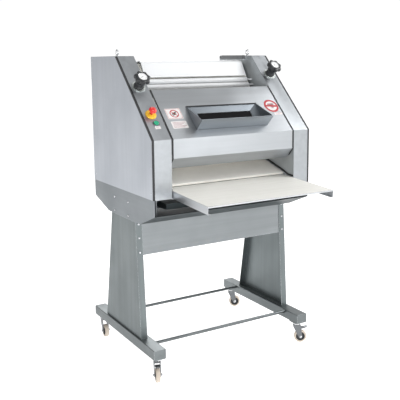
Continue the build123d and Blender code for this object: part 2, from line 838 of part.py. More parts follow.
GEARBOX_IN = 280
with BuildPart() as drive_sprocket:
    with BuildSketch(Plane.YZ.offset(GEARBOX_IN + 80)):
        with Locations(MOTOR):
            Circle(SHAFT_R)
    extrude(amount=CHAIN_X - GEARBOX_IN - 80)
    with BuildSketch(Plane.YZ.offset(CHAIN_X)):
        with Locations(MOTOR):
            Circle(DRIVE_R)
    extrude(amount=CHAIN_WIDTH)
save(drive_sprocket.part, "drive_sprocket")

MOTOR_R = 62
FIN_COUNT = 24
with BuildPart() as gearmotor:
    with BuildSketch(Plane.YZ.offset(GEARBOX_IN)):
        with Locations(MOTOR):
            RectangleRounded(130, 130, 14)
    extrude(amount=WALL_IN - GEARBOX_IN)
    with BuildSketch(Plane.YZ.offset(GEARBOX_IN + 79)):
        with Locations(MOTOR):
            Circle(SHAFT_R + RUN_CLEARANCE)
    extrude(amount=WALL_IN - GEARBOX_IN - 79, mode=Mode.SUBTRACT)
    with BuildSketch(Plane.YZ.offset(GEARBOX_IN - 210)):
        with Locations(MOTOR):
            Circle(MOTOR_R - 6)
            with PolarLocations(MOTOR_R - 5, FIN_COUNT):
                Rectangle(12, 3)
    extrude(amount=210)
    with BuildSketch(Plane.YZ.offset(GEARBOX_IN - 250)):
        with Locations(MOTOR):
            Circle(MOTOR_R)
    extrude(amount=40)
save(gearmotor.part, "gearmotor")

CHAIN_THICK = 7
DRIVE_WHEELS = [(*MOTOR, DRIVE_R + 0.4), (*TOP_ROLLER, DRIVEN_R + 0.4)]
with BuildPart() as drive_chain:
    with BuildSketch(Plane.YZ.offset(CHAIN_X)):
        loop_outline(DRIVE_WHEELS, CHAIN_THICK)
    extrude(amount=CHAIN_WIDTH)
    with BuildSketch(Plane.YZ.offset(CHAIN_X)):
        loop_outline(DRIVE_WHEELS, 0)
    extrude(amount=CHAIN_WIDTH, mode=Mode.SUBTRACT)
save(drive_chain.part, "drive_chain")

MOULDING_WHEELS = [(*place, BELT_ROLLER_R + 0.3) for place in (TOP_ROLLER, FRONT_IDLER, REAR_IDLER)]
DELIVERY_WHEELS = [(*NOSE, NOSE_R + 0.3), (*TAIL, TAIL_R + 0.3)]
for name, wheels, thick in (
    ("moulding_belt", MOULDING_WHEELS, BELT_THICK),
    ("delivery_belt", DELIVERY_WHEELS, BELT_THICK / 2),
):
    with BuildPart() as belt:
        with BuildSketch(Plane.YZ.offset(-BELT_HALF)):
            loop_outline(wheels, thick)
        extrude(amount=2 * BELT_HALF)
        with BuildSketch(Plane.YZ.offset(-BELT_HALF)):
            loop_outline(wheels, 0)
        extrude(amount=2 * BELT_HALF, mode=Mode.SUBTRACT)
    save(belt.part, name)

BOARD_LIFT = 15
run_side = tilted((-BELT_HALF, *FRONT_IDLER), RUN_TILT)
with BuildPart() as pressure_board:
    with BuildSketch(run_side):
        with Locations((145, -BELT_ROLLER_R + BOARD_LIFT)):
            RectangleRounded(190, 10, 3)
    extrude(amount=2 * BELT_HALF)
save(pressure_board.part, "pressure_board")

BLOCK_SIDE = 56
with BuildPart() as roller_carriage:
    with BuildSketch(Plane.YZ.offset(WALL_OUT + 0.4)):
        with Locations(REAR_ROLLER):
            RectangleRounded(BLOCK_SIDE, BLOCK_SIDE, 8)
            Circle(SHAFT_R + RUN_CLEARANCE, mode=Mode.SUBTRACT)
    extrude(amount=20)
    mirror(about=Plane.YZ)
save(roller_carriage.part, "roller_carriage")

SCRAPER_GAP = 0.6
with BuildPart() as roller_scraper:
    with BuildSketch(tilted((-WALL_IN, *FRONT_ROLLER), -62)):
        with BuildLine():
            Polyline(
                (SHEETING_R + SCRAPER_GAP, 0),
                (SHEETING_R + 20, 5),
                (SHEETING_R + 30, 5),
                (SHEETING_R + 30, -3),
                (SHEETING_R + 20, -3),
                close=True,
            )
        make_face()
    extrude(amount=2 * WALL_IN)
save(roller_scraper.part, "roller_scraper")

# ---------------------------------------------------------------- table

TABLE = Plane(
    origin=(0, TABLE_FRONT, TABLE_FRONT_Z),
    x_dir=(1, 0, 0),
    z_dir=(0, -sin(radians(TABLE_TILT)), cos(radians(TABLE_TILT))),
)
BOARD_THICK = 5
RAIL_DEPTH = 39
RAIL_LIP = 15
with BuildPart() as table_top:
    with BuildSketch(TABLE.offset(-BOARD_THICK)):
        with Locations((0, TABLE_LENGTH / 2)):
            Rectangle(2 * TABLE_HALF - 6, TABLE_LENGTH - 6)
    extrude(amount=BOARD_THICK)
save(table_top.part, "table_top")

with BuildPart() as table_frame:
    with BuildSketch(TABLE.offset(-RAIL_DEPTH)):
        with Locations((0, TABLE_LENGTH / 2)):
            Rectangle(2 * TABLE_HALF, TABLE_LENGTH)
    extrude(amount=RAIL_DEPTH)
    with BuildSketch(TABLE.offset(-BOARD_THICK)):
        with Locations((0, TABLE_LENGTH / 2)):
            Rectangle(2 * TABLE_HALF - 6, TABLE_LENGTH - 6)
    extrude(amount=BOARD_THICK + 1, mode=Mode.SUBTRACT)
    with BuildSketch(TABLE.offset(-RAIL_DEPTH + SHEET)):
        with Locations((0, TABLE_LENGTH / 2)):
            Rectangle(2 * TABLE_HALF - 2 * SHEET, TABLE_LENGTH + 2)
    extrude(amount=RAIL_DEPTH - BOARD_THICK - 2 * SHEET, mode=Mode.SUBTRACT)
    with BuildSketch(TABLE.offset(-RAIL_DEPTH - 1)):
        with Locations((0, TABLE_LENGTH / 2)):
            Rectangle(2 * (TABLE_HALF - RAIL_LIP), TABLE_LENGTH + 2)
    extrude(amount=SHEET + 2, mode=Mode.SUBTRACT)
save(table_frame.part, "table_frame")

RAIL_GAP = 0.5
RAIL_GUIDE = 3
with BuildPart() as table_brackets:
    for height, width in ((RAIL_GUIDE, 32), (RAIL_DEPTH - 3, RAIL_GUIDE)):
        with BuildSketch(tilted((WALL_IN, TABLE_FRONT, TABLE_FRONT_Z), TABLE_TILT)):
            with Locations((FRONT - TABLE_FRONT + 205, -RAIL_DEPTH - RAIL_GAP - RAIL_GUIDE + height / 2)):
                Rectangle(400, height)
        extrude(amount=-width)
    with BuildSketch(Plane.YZ.offset(WALL_IN)):
        with Locations(((TRAY_FRONT + TRAY_BACK) / 2 + 25, TRAY_LOW - 2)):
            Rectangle(TRAY_BACK - TRAY_FRONT - 80, RAIL_GUIDE)
    extrude(amount=-34)
    mirror(about=Plane.YZ)
save(table_brackets.part, "table_brackets")

# ---------------------------------------------------------------- controls

FLANGE_R = 37
FLANGE_THICK = 5
KNOB_LOW = 52
KNOB_THICK = 28
KNOB_R = 41
LOBE_R = 8
LOBES = 7
DIAL_R = 24
with BuildPart() as handwheel_flanges:
    with BuildSketch(SLOPE):
        with Locations((LEFT_CONTROL_X, LEFT_WHEEL_UP), (RIGHT_CONTROL_X, RIGHT_WHEEL_UP)):
            Circle(FLANGE_R)
            Circle(SPINDLE_R + RUN_CLEARANCE, mode=Mode.SUBTRACT)
    extrude(amount=FLANGE_THICK)
    chamfer(handwheel_flanges.faces().sort_by(SLOPE_OUT)[-1].outer_wire().edges(), 1)
save(handwheel_flanges.part, "handwheel_flanges")

for name, x, up in (
    ("left_handwheel", LEFT_CONTROL_X, LEFT_WHEEL_UP),
    ("right_handwheel", RIGHT_CONTROL_X, RIGHT_WHEEL_UP),
):
    with BuildPart() as handwheel:
        with BuildSketch(SLOPE.offset(-12)):
            with Locations((x, up)):
                Circle(SPINDLE_R)
        extrude(amount=KNOB_LOW + 12)
        for low, high, radius in ((5.5, 16, 28), (16, 30, 23), (30, 40, 26), (40, KNOB_LOW, 22)):
            with BuildSketch(SLOPE.offset(low)):
                with Locations((x, up)):
                    Circle(radius)
            extrude(amount=high - low)
        with BuildSketch(SLOPE.offset(KNOB_LOW)):
            with Locations((x, up)):
                Circle(KNOB_R)
                with PolarLocations(KNOB_R - 3, LOBES):
                    Circle(LOBE_R)
        extrude(amount=KNOB_THICK)
        with BuildSketch(SLOPE.offset(KNOB_LOW + KNOB_THICK - 4)):
            with Locations((x, up)):
                Circle(DIAL_R)
        extrude(amount=5, mode=Mode.SUBTRACT)
    with BuildPart() as dial:
        with BuildSketch(SLOPE.offset(KNOB_LOW + KNOB_THICK - 4)):
            with Locations((x, up)):
                Circle(DIAL_R)
        extrude(amount=3.5)
    save(Compound(children=[handwheel.part, dial.part]), name)

COLLAR_R = 31
COLLAR_HIGH = 12
STEM_R = 8
MUSHROOM_R = 20.5
MUSHROOM_LOW = 29
with BuildPart() as estop_collar:
    with BuildSketch(SLOPE):
        with Locations((LEFT_CONTROL_X, ESTOP_UP)):
            Circle(COLLAR_R)
    with BuildSketch(SLOPE.offset(COLLAR_HIGH)):
        with Locations((LEFT_CONTROL_X, ESTOP_UP)):
            Circle(COLLAR_R - 4)
    loft()
    with BuildSketch(SLOPE.offset(2)):
        with Locations((LEFT_CONTROL_X, ESTOP_UP)):
            Circle(STEM_R + 0.1)
    extrude(amount=COLLAR_HIGH, mode=Mode.SUBTRACT)
save(estop_collar.part, "estop_collar")

with BuildPart() as estop_button:
    with BuildSketch(SLOPE.offset(10)):
        with Locations((LEFT_CONTROL_X, ESTOP_UP)):
            Circle(STEM_R)
    extrude(amount=MUSHROOM_LOW - 10)
    with BuildSketch(SLOPE.offset(MUSHROOM_LOW)):
        with Locations((LEFT_CONTROL_X, ESTOP_UP)):
            Circle(MUSHROOM_R)
    extrude(amount=15)
    fillet(estop_button.faces().sort_by(SLOPE_OUT)[-1].edges(), 7)
save(estop_button.part, "estop_button")

with BuildPart() as start_button:
    with BuildSketch(SLOPE.offset(-14)):
        with Locations((START_X, START_UP)):
            Circle(BUTTON_R)
    extrude(amount=14 + 7)
    fillet(start_button.faces().sort_by(SLOPE_OUT)[-1].edges(), 2)
save(start_button.part, "start_button")

with BuildPart() as release_lever:
    with BuildSketch(Plane.XZ.offset(-(LEVER_Y - LEVER_HALF))):
        with Locations(((LEVER_PIVOT_X + LEVER_END_X) / 2, (LEVER_LOW + LEVER_HIGH) / 2)):
            SlotCenterToCenter(LEVER_PIVOT_X - LEVER_END_X, LEVER_HIGH - LEVER_LOW)
    extrude(amount=-2 * LEVER_HALF)
    with BuildSketch(Plane.XY.offset(LEVER_LOW)):
        with Locations((LEVER_PIVOT_X, LEVER_Y)):
            Circle(11)
    extrude(amount=LEVER_HIGH - LEVER_LOW)
    with BuildSketch(Plane.XY.offset(LEVER_LOW - 1)):
        with Locations((LEVER_PIVOT_X, LEVER_Y)):
            Circle(PIN_R + RUN_CLEARANCE)
    extrude(amount=LEVER_HIGH - LEVER_LOW + 2, mode=Mode.SUBTRACT)
save(release_lever.part, "release_lever")

# ---------------------------------------------------------------- castors

FORK_IN = 15.5
FORK_OUT = 18
FORK_TOP = 112
PLATE_LOW = 126
KINGPIN_R = 6
KINGPIN_LOW = 100
RACE_LOW = FORK_TOP + 0.5
RACE_R = 22
AXLE_R = 5
TYRE_HALF = 12
HUB_R = 27
PEDAL_PIVOT = (20, 89)
PEDAL_PIN_R = 3

with BuildPart() as castor_plates:
    for x, y, _ in CASTOR_PLACES.values():
        with BuildSketch(Plane.XY.offset(PLATE_LOW)):
            with Locations((x, y)):
                RectangleRounded(64, 66, 5)
        extrude(amount=FOOT_LOW - PLATE_LOW)
        for low, high, radius in (
            (RACE_LOW, PLATE_LOW, RACE_R),
            (KINGPIN_LOW, RACE_LOW, KINGPIN_R),
            (KINGPIN_LOW - 2, FORK_TOP - 8.5, KINGPIN_R + 3),
        ):
            with BuildSketch(Plane.XY.offset(low)):
                with Locations((x, y)):
                    Circle(radius)
            extrude(amount=high - low)
save(castor_plates.part, "castor_plates")


def castor_side(x, y, heading):
    """Plane through a castor's swivel axis: local x runs along its heading, local y up."""
    h = radians(heading)
    return Plane(origin=(x, y, 0), x_dir=(cos(h), sin(h), 0), z_dir=(sin(h), -cos(h), 0))


for name, (x, y, heading) in CASTOR_PLACES.items():
    side = castor_side(x, y, heading)
    with BuildPart() as fork:
        with BuildSketch(side):
            with Locations((TRAIL, WHEEL_R)):
                Circle(11)
            with Locations((0, FORK_TOP - 6)):
                Rectangle(44, 12)
            make_hull()
        extrude(amount=FORK_OUT, both=True)
        with BuildSketch(side):
            with Locations((TRAIL - 5, (FORK_TOP - 8) / 2)):
                Rectangle(90, FORK_TOP - 8)
        extrude(amount=FORK_IN, both=True, mode=Mode.SUBTRACT)
        with BuildSketch(side):
            with Locations((TRAIL, WHEEL_R)):
                Circle(AXLE_R)
        extrude(amount=FORK_OUT + 3, both=True)
        with BuildSketch(Plane.XY.offset(FORK_TOP - 20)):
            with Locations((x, y)):
                Circle(KINGPIN_R + RUN_CLEARANCE)
        extrude(amount=30, mode=Mode.SUBTRACT)
        if name.startswith("front"):
            with BuildSketch(side):
                with Locations(PEDAL_PIVOT):
                    Circle(PEDAL_PIN_R)
            extrude(amount=FORK_OUT + 1, both=True)
    save(fork.part, f"{name}_fork")

    with BuildPart() as tyre:
        with BuildSketch(side):
            with Locations((TRAIL, WHEEL_R)):
                Circle(WHEEL_R)
        extrude(amount=TYRE_HALF, both=True)
        fillet(tyre.edges().filter_by(GeomType.CIRCLE), 5)
        with BuildSketch(side):
            with Locations((TRAIL, WHEEL_R)):
                Circle(HUB_R)
        extrude(amount=TYRE_HALF, both=True, mode=Mode.SUBTRACT)
    with BuildPart() as hub:
        with BuildSketch(side):
            with Locations((TRAIL, WHEEL_R)):
                Circle(HUB_R)
                Circle(AXLE_R + RUN_CLEARANCE, mode=Mode.SUBTRACT)
        extrude(amount=TYRE_HALF + 1.5, both=True)
    save(Compound(children=[tyre.part, hub.part]), f"{name}_wheel")

    if name.startswith("front"):
        with BuildPart() as pedal:
            with BuildSketch(side):
                with Locations(PEDAL_PIVOT):
                    Circle(6)
                with BuildLine():
                    Polyline((20, 83.5), (46, 88), (62, 97), (62, 101), (44, 94), (20, 95), close=True)
                make_face()
            extrude(amount=13, both=True)
            with BuildSketch(side):
                with Locations(PEDAL_PIVOT):
                    Circle(PEDAL_PIN_R + RUN_CLEARANCE)
            extrude(amount=20, both=True, mode=Mode.SUBTRACT)
        save(pedal.part, f"{name}_pedal")
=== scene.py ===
"""Looks, light and camera of the dough sheeter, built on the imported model."""

import json
import math

import bmesh
import bpy
from mathutils import Matrix, Vector, noise


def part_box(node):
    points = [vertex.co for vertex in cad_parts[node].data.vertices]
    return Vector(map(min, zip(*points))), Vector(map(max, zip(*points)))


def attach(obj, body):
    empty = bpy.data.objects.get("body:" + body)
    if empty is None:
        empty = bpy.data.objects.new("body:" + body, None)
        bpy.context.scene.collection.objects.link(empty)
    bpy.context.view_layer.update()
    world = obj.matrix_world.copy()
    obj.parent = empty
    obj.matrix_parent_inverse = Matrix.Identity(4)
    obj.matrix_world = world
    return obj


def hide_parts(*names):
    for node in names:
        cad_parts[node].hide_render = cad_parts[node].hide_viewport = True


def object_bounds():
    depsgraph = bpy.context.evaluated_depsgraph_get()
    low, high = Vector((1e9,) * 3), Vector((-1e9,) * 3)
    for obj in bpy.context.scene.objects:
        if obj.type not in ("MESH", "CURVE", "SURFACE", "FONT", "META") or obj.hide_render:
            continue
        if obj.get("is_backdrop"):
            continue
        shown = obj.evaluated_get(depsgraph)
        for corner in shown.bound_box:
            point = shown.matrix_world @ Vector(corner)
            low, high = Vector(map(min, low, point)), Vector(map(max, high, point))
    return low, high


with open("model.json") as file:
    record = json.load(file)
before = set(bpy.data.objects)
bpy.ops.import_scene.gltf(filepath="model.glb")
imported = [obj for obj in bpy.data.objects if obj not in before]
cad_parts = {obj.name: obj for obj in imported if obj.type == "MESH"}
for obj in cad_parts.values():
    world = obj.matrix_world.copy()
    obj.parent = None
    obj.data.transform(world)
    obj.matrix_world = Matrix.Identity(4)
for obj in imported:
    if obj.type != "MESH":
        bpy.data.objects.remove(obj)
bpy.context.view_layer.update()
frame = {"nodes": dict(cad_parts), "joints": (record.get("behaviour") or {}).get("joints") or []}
nodes = frame["nodes"]
joints = {joint["name"]: joint for joint in frame["joints"]}

# ---------------------------------------------------------------- places, all taken from the frame

MM = 0.001
ACROSS = Vector((1, 0, 0))
UP = Vector((0, 0, 1))


def frame_at(origin, x_axis, z_axis):
    """A local frame: z along z_axis, x as near x_axis as it can be."""
    z = Vector(z_axis).normalized()
    x = Vector(x_axis) - z * z.dot(Vector(x_axis))
    x.normalize()
    turn = Matrix((x, z.cross(x), z)).transposed().to_4x4()
    return Matrix.Translation(Vector(origin)) @ turn


def middle(node):
    """Middle of a CAD node's box."""
    low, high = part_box(node)
    return (low + high) / 2


def joint_place(name, x_axis=ACROSS):
    """Local frame on a joint's pivot, with z along its axis."""
    return frame_at(joints[name]["pos_m"], x_axis, joints[name]["axis"])


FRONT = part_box("front_guard")[0].y
SLOPE_OUT = Vector(joints["left_handwheel_turn"]["axis"])
slope_point = Vector(joints["left_handwheel_turn"]["pos_m"])
KNEE = slope_point.z - (slope_point.y - FRONT)
SLOPE = frame_at((0, FRONT, KNEE), ACROSS, SLOPE_OUT)
HALF_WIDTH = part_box("right_side_cover")[1].x
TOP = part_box("left_panel")[1].z
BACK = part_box("rear_cover")[1].y


def on_slope(x, up, out=0.0):
    """Local frame lying on the slope: x across the machine, y up the slope, z out of it."""
    return SLOPE @ Matrix.Translation((x, up, out))


def slope_place(node):
    """(x, distance up the slope) of a node's middle."""
    spot = SLOPE.inverted() @ middle(node)
    return spot.x, spot.y


# ---------------------------------------------------------------- materials

class Look:
    """A material being made: a Principled shader whose colour, roughness and bump take procedural detail."""

    def __init__(self, name, colour, **sockets):
        self.material = bpy.data.materials.new(name)
        self.material.use_nodes = True
        self.tree = self.material.node_tree
        self.shader = self.tree.nodes["Principled BSDF"]
        self.place = self.node("TexCoord").outputs["Object"]
        self.height = None
        self.tint(colour)
        for socket, value in sockets.items():
            self.shader.inputs[socket.replace("_", " ")].default_value = value

    def node(self, kind, **inputs):
        """A new node, with values or links for its inputs."""
        made = self.tree.nodes.new("ShaderNode" + kind)
        for socket, value in inputs.items():
            self.give(made.inputs[socket.replace("_", " ")], value)
        return made

    def give(self, socket, value):
        """Links or sets one socket."""
        if isinstance(value, bpy.types.NodeSocket):
            self.tree.links.new(value, socket)
        else:
            socket.default_value = value

    def tint(self, colour):
        """Sets the base colour."""
        self.colour = colour
        self.shader.inputs["Base Color"].default_value = (*colour, 1)

    def noise(self, scale, stretch=(1, 1, 1), detail=3.0, rough=0.5):
        """Noise from 0 to 1, with stretch as its frequency along each axis."""
        spread = self.node("Mapping", Vector=self.place, Scale=stretch)
        made = self.node("TexNoise", Vector=spread.outputs[0], Scale=scale, Detail=detail, Roughness=rough)
        return made.outputs["Fac"]

    def ramp(self, value, low, high, start=0.0, end=1.0):
        """value from low..high, moved to start..end and clamped."""
        made = self.node("MapRange", Value=value)
        for socket, number in (("From Min", low), ("From Max", high), ("To Min", start), ("To Max", end)):
            made.inputs[socket].default_value = number
        return made.outputs[0]

    def blend_colour(self, mask, colour):
        """Mixes another colour in where mask is high."""
        made = self.node("Mix")
        made.data_type = "RGBA"
        base = self.shader.inputs["Base Color"]
        if base.is_linked:
            self.give(made.inputs[6], base.links[0].from_socket)
        else:
            made.inputs[6].default_value = base.default_value
        made.inputs[7].default_value = (*colour, 1)
        self.give(made.inputs[0], mask)
        self.give(base, made.outputs[2])

    def shade(self, mask, amount):
        """Lightens or darkens the colour by amount where mask is high."""
        self.blend_colour(mask, tuple(min(1.0, c * amount) for c in self.colour))

    def roughen(self, mask, low, high):
        """Roughness from low to high, following mask."""
        self.give(self.shader.inputs["Roughness"], self.ramp(mask, 0.3, 0.7, low, high))

    def bump(self, height, strength, distance):
        """Adds a bump on top of those made before."""
        made = self.node("Bump", Height=height, Strength=strength, Distance=distance)
        normal = self.shader.inputs["Normal"]
        if normal.is_linked:
            self.give(made.inputs["Normal"], normal.links[0].from_socket)
        self.give(normal, made.outputs[0])

    def worn_edges(self, colour, radius, amount=1.0):
        """Another colour along sharp edges, broken up by noise."""
        soft = self.node("Bevel", Radius=radius)
        sharp = self.node("NewGeometry").outputs["Normal"]
        match = self.node("VectorMath")
        match.operation = "DOT_PRODUCT"
        self.give(match.inputs[0], soft.outputs[0])
        self.give(match.inputs[1], sharp)
        edge = self.ramp(match.outputs["Value"], 0.995, 0.85)
        patchy = self.ramp(self.noise(60), 0.35, 0.65, 0.2, amount)
        both = self.node("Math")
        both.operation = "MULTIPLY"
        self.give(both.inputs[0], edge)
        self.give(both.inputs[1], patchy)
        self.blend_colour(both.outputs[0], colour)


def axis_stretch(axis, along, across):
    """Noise frequencies for a grain that runs along one axis."""
    return tuple(along if name == axis else across for name in "xyz")


def brushed_steel(name, colour, grain="x", roughness=0.36, streaks=0.9, metallic=0.9):
    """Stainless sheet: fine brushing, wider streaks, faint smudges."""
    look = Look(name, colour, Metallic=metallic, Roughness=roughness, Anisotropic=0.35)
    fine = look.noise(60, axis_stretch(grain, 0.12, 14), 2)
    wide = look.noise(9, axis_stretch(grain, 0.12, 4), 3)
    smudge = look.noise(4.5, (1, 1, 1), 4)
    look.shade(look.ramp(wide, 0.35, 0.7), streaks)
    look.shade(look.ramp(smudge, 0.45, 0.75, 0, 0.6), 0.93)
    look.roughen(smudge, roughness - 0.05, roughness + 0.09)
    look.bump(fine, 0.08, 0.0002)
    return look


def stand_steel(name, colour, grain):
    """Thick brushed plate of the stand: coarse grain, cloudy tone, edges rubbed bright."""
    look = brushed_steel(name, colour, grain, 0.4, 0.86, 0.88)
    cloud = look.noise(2.6, (1, 1, 0.5), 4)
    look.blend_colour(look.ramp(cloud, 0.42, 0.7, 0, 0.5), tuple(0.7 * c for c in colour))
    look.worn_edges((0.62, 0.64, 0.65), 0.003, 0.9)
    return look


def bright_metal(name, colour, roughness=0.18):
    """Zinc or chrome plate with faint polishing marks."""
    look = Look(name, colour, Metallic=1.0, Roughness=roughness)
    marks = look.noise(90, (1, 1, 1), 4)
    cloud = look.noise(14, (1, 1, 1), 2)
    look.shade(look.ramp(cloud, 0.4, 0.75), 0.8)
    look.roughen(marks, roughness - 0.05, roughness + 0.12)
    look.bump(marks, 0.04, 0.0003)
    return look


def black_rubber(name, colour=(0.018, 0.019, 0.021), dusty=0.35, shine=0.5):
    """Extruded black rubber, slightly dusty."""
    look = Look(name, colour, Roughness=0.6, Specular_IOR_Level=shine)
    dust = look.noise(30, (1, 1, 1), 5)
    grain = look.noise(500, (1, 1, 1), 2)
    look.blend_colour(look.ramp(dust, 0.55, 0.85, 0, dusty), (0.09, 0.09, 0.09))
    look.roughen(dust, 0.5, 0.7)
    look.bump(grain, 0.15, 0.0003)
    return look


def moulded_plastic(name, colour, roughness=0.4, grain=0.12, worn=None):
    """Injection-moulded plastic with a fine texture."""
    look = Look(name, colour, Roughness=roughness, Specular_IOR_Level=0.5)
    fine = look.noise(700, (1, 1, 1), 1)
    cloud = look.noise(20, (1, 1, 1), 3)
    look.shade(look.ramp(cloud, 0.45, 0.75), 0.88)
    look.roughen(cloud, roughness - 0.06, roughness + 0.08)
    look.bump(fine, grain, 0.0002)
    if worn:
        look.worn_edges(worn, 0.001, 0.7)
    return look


def white_enamel(name):
    """Glossy white cover with a very slight ripple."""
    look = Look(name, (0.80, 0.815, 0.83), Roughness=0.32, Coat_Weight=0.25, Coat_Roughness=0.2)
    ripple = look.noise(7, (0.5, 1, 1), 2)
    dust = look.noise(40, (1, 1, 1), 5)
    look.blend_colour(look.ramp(dust, 0.55, 0.9, 0, 0.3), (0.70, 0.71, 0.71))
    look.roughen(dust, 0.28, 0.42)
    look.bump(ripple, 0.05, 0.002)
    return look


def felt(name, colour):
    """Pressed wool belt: fibres, a faint weave, floury patches and a soft sheen."""
    look = Look(name, colour, Roughness=0.92, Sheen_Weight=0.25, Sheen_Roughness=0.5)
    fibre = look.noise(650, (1, 1, 1), 4, 0.7)
    cloud = look.noise(5, (1, 1, 1), 5)
    threads = look.node("TexWave", Vector=look.place, Scale=260.0, Distortion=1.5, Detail=1.0)
    threads.bands_direction = "X"
    look.shade(look.ramp(cloud, 0.4, 0.75), 0.9)
    look.blend_colour(look.ramp(fibre, 0.5, 0.8, 0, 0.5), (0.96, 0.95, 0.90))
    look.bump(threads.outputs["Fac"], 0.1, 0.0004)
    look.bump(fibre, 0.35, 0.0008)
    return look


def cream_board(name, colour):
    """Laminated table board, satin, with rub marks along the way the dough travels."""
    look = Look(name, colour, Roughness=0.5)
    rubs = look.noise(12, (3, 0.25, 1), 4)
    cloud = look.noise(3, (1, 1, 1), 4)
    grain = look.noise(420, (1, 1, 1), 2)
    lines = look.noise(30, (0.08, 9, 1), 3)
    look.shade(look.ramp(cloud, 0.42, 0.75), 0.95)
    look.blend_colour(look.ramp(rubs, 0.5, 0.8, 0, 0.45), (0.93, 0.92, 0.88))
    look.blend_colour(look.ramp(lines, 0.52, 0.72, 0, 0.5), (0.72, 0.70, 0.64))
    look.roughen(rubs, 0.42, 0.6)
    look.bump(grain, 0.1, 0.0003)
    return look


def turned_metal(name, colour):
    """Roller surface with fine turning lines round its axis."""
    look = Look(name, colour, Metallic=1.0, Roughness=0.3)
    lines = look.noise(90, (12, 0.2, 0.2), 2)
    look.shade(look.ramp(lines, 0.4, 0.7), 0.85)
    look.roughen(lines, 0.25, 0.4)
    look.bump(lines, 0.1, 0.0003)
    return look


def oiled_iron(name, colour, roughness=0.45):
    """Dark machine parts with an uneven film of oil."""
    look = Look(name, colour, Metallic=0.7, Roughness=roughness)
    film = look.noise(25, (1, 1, 1), 5)
    cast = look.noise(180, (1, 1, 1), 3)
    look.shade(look.ramp(film, 0.4, 0.7), 0.6)
    look.roughen(film, roughness - 0.15, roughness + 0.15)
    look.bump(cast, 0.3, 0.0005)
    return look


def printed_film(name, colour):
    """Printed sticker film, slightly mottled."""
    look = Look(name, colour, Roughness=0.42, Coat_Weight=0.2, Coat_Roughness=0.2)
    cloud = look.noise(50, (1, 1, 1), 3)
    grain = look.noise(600, (1, 1, 1), 1)
    look.shade(look.ramp(cloud, 0.45, 0.75), 0.9)
    look.bump(grain, 0.05, 0.0001)
    return look


steel_front = brushed_steel("steel_front", (0.43, 0.45, 0.47), "x", 0.34)
steel_panel = brushed_steel("steel_panel", (0.40, 0.42, 0.44), "y", 0.36)
steel_side = brushed_steel("steel_side", (0.475, 0.50, 0.54), "z", 0.42, 0.94)
steel_base = brushed_steel("steel_base", (0.25, 0.27, 0.285), "y", 0.42, 0.95)
# Pan and crumb tray: the steel is made near black as painted shade for the shadow under the table.
steel_pan_painted_shade = brushed_steel("steel_pan_painted_shade", (0.05, 0.062, 0.066), "x", 0.45, 0.94, 0.7)
steel_inner = brushed_steel("steel_inner", (0.46, 0.49, 0.51), "z", 0.42, 0.94, 0.55)
steel_table = brushed_steel("steel_table", (0.55, 0.57, 0.59), "y", 0.36)
steel_hopper = brushed_steel("steel_hopper", (0.33, 0.36, 0.39), "x", 0.36, 0.92, 0.9)
stand_legs = stand_steel("stand_legs", (0.19, 0.215, 0.22), "z")
stand_beams = stand_steel("stand_beams", (0.27, 0.29, 0.30), "x")
stand_feet = stand_steel("stand_feet", (0.20, 0.22, 0.225), "y")
fork_zinc = bright_metal("fork_zinc", (0.20, 0.21, 0.22), 0.34)
plated = bright_metal("plated", (0.62, 0.63, 0.65), 0.22)
polished = bright_metal("polished", (0.78, 0.79, 0.80), 0.14)
# Hopper inside: a darker copy of the hopper steel, painted shade for the recess round its throat.
steel_inside_painted_shade = brushed_steel("steel_inside_painted_shade", (0.17, 0.19, 0.21), "x", 0.4, 0.9, 0.9)
flange_plate = bright_metal("flange_plate", (0.66, 0.70, 0.68), 0.42)
rod_metal = bright_metal("rod_metal", (0.15, 0.165, 0.17), 0.34)
rubber = black_rubber("rubber")
# Flap rubber: blacker, less dusty and duller than the other rubber, as painted shade for the dark throat.
flap_rubber_painted_shade = black_rubber("flap_rubber_painted_shade", (0.004, 0.004, 0.005), 0.06, 0.08)
knob_plastic = moulded_plastic("knob_plastic", (0.022, 0.024, 0.027), 0.36, 0.15, (0.12, 0.12, 0.12))
lever_paint = moulded_plastic("lever_paint", (0.10, 0.105, 0.11), 0.4, 0.1, (0.3, 0.3, 0.3))
white_cover = white_enamel("white_cover")
belt_felt = felt("belt_felt", (0.95, 0.93, 0.87))
board_cream = cream_board("board_cream", (0.90, 0.89, 0.84))
roller_plastic = moulded_plastic("roller_plastic", (0.80, 0.80, 0.78), 0.34, 0.06)
# Sheeting rollers: made near black as painted shade for the shaded slot they sit in.
roller_painted_shade = moulded_plastic("roller_painted_shade", (0.035, 0.037, 0.04), 0.3, 0.06, (0.12, 0.12, 0.12))
roller_metal = turned_metal("roller_metal", (0.66, 0.67, 0.69))
iron = oiled_iron("iron", (0.12, 0.12, 0.125))
motor_paint = oiled_iron("motor_paint", (0.16, 0.18, 0.21), 0.5)
yellow = moulded_plastic("yellow", (0.85, 0.50, 0.03), 0.35, 0.08)
red = moulded_plastic("red", (0.72, 0.035, 0.03), 0.25, 0.05)
green = moulded_plastic("green", (0.02, 0.36, 0.19), 0.25, 0.05)
tyre_rubber = moulded_plastic("tyre_rubber", (0.62, 0.54, 0.46), 0.5, 0.2)
dial_white = printed_film("dial_white", (0.86, 0.87, 0.87))
print_white = printed_film("print_white", (0.76, 0.73, 0.72))
print_red = printed_film("print_red", (0.45, 0.02, 0.03))
print_dark = printed_film("print_dark", (0.05, 0.05, 0.06))
print_grey = printed_film("print_grey", (0.36, 0.20, 0.22))
print_green = printed_film("print_green", (0.06, 0.09, 0.08))
print_pink = printed_film("print_pink", (0.78, 0.30, 0.28))

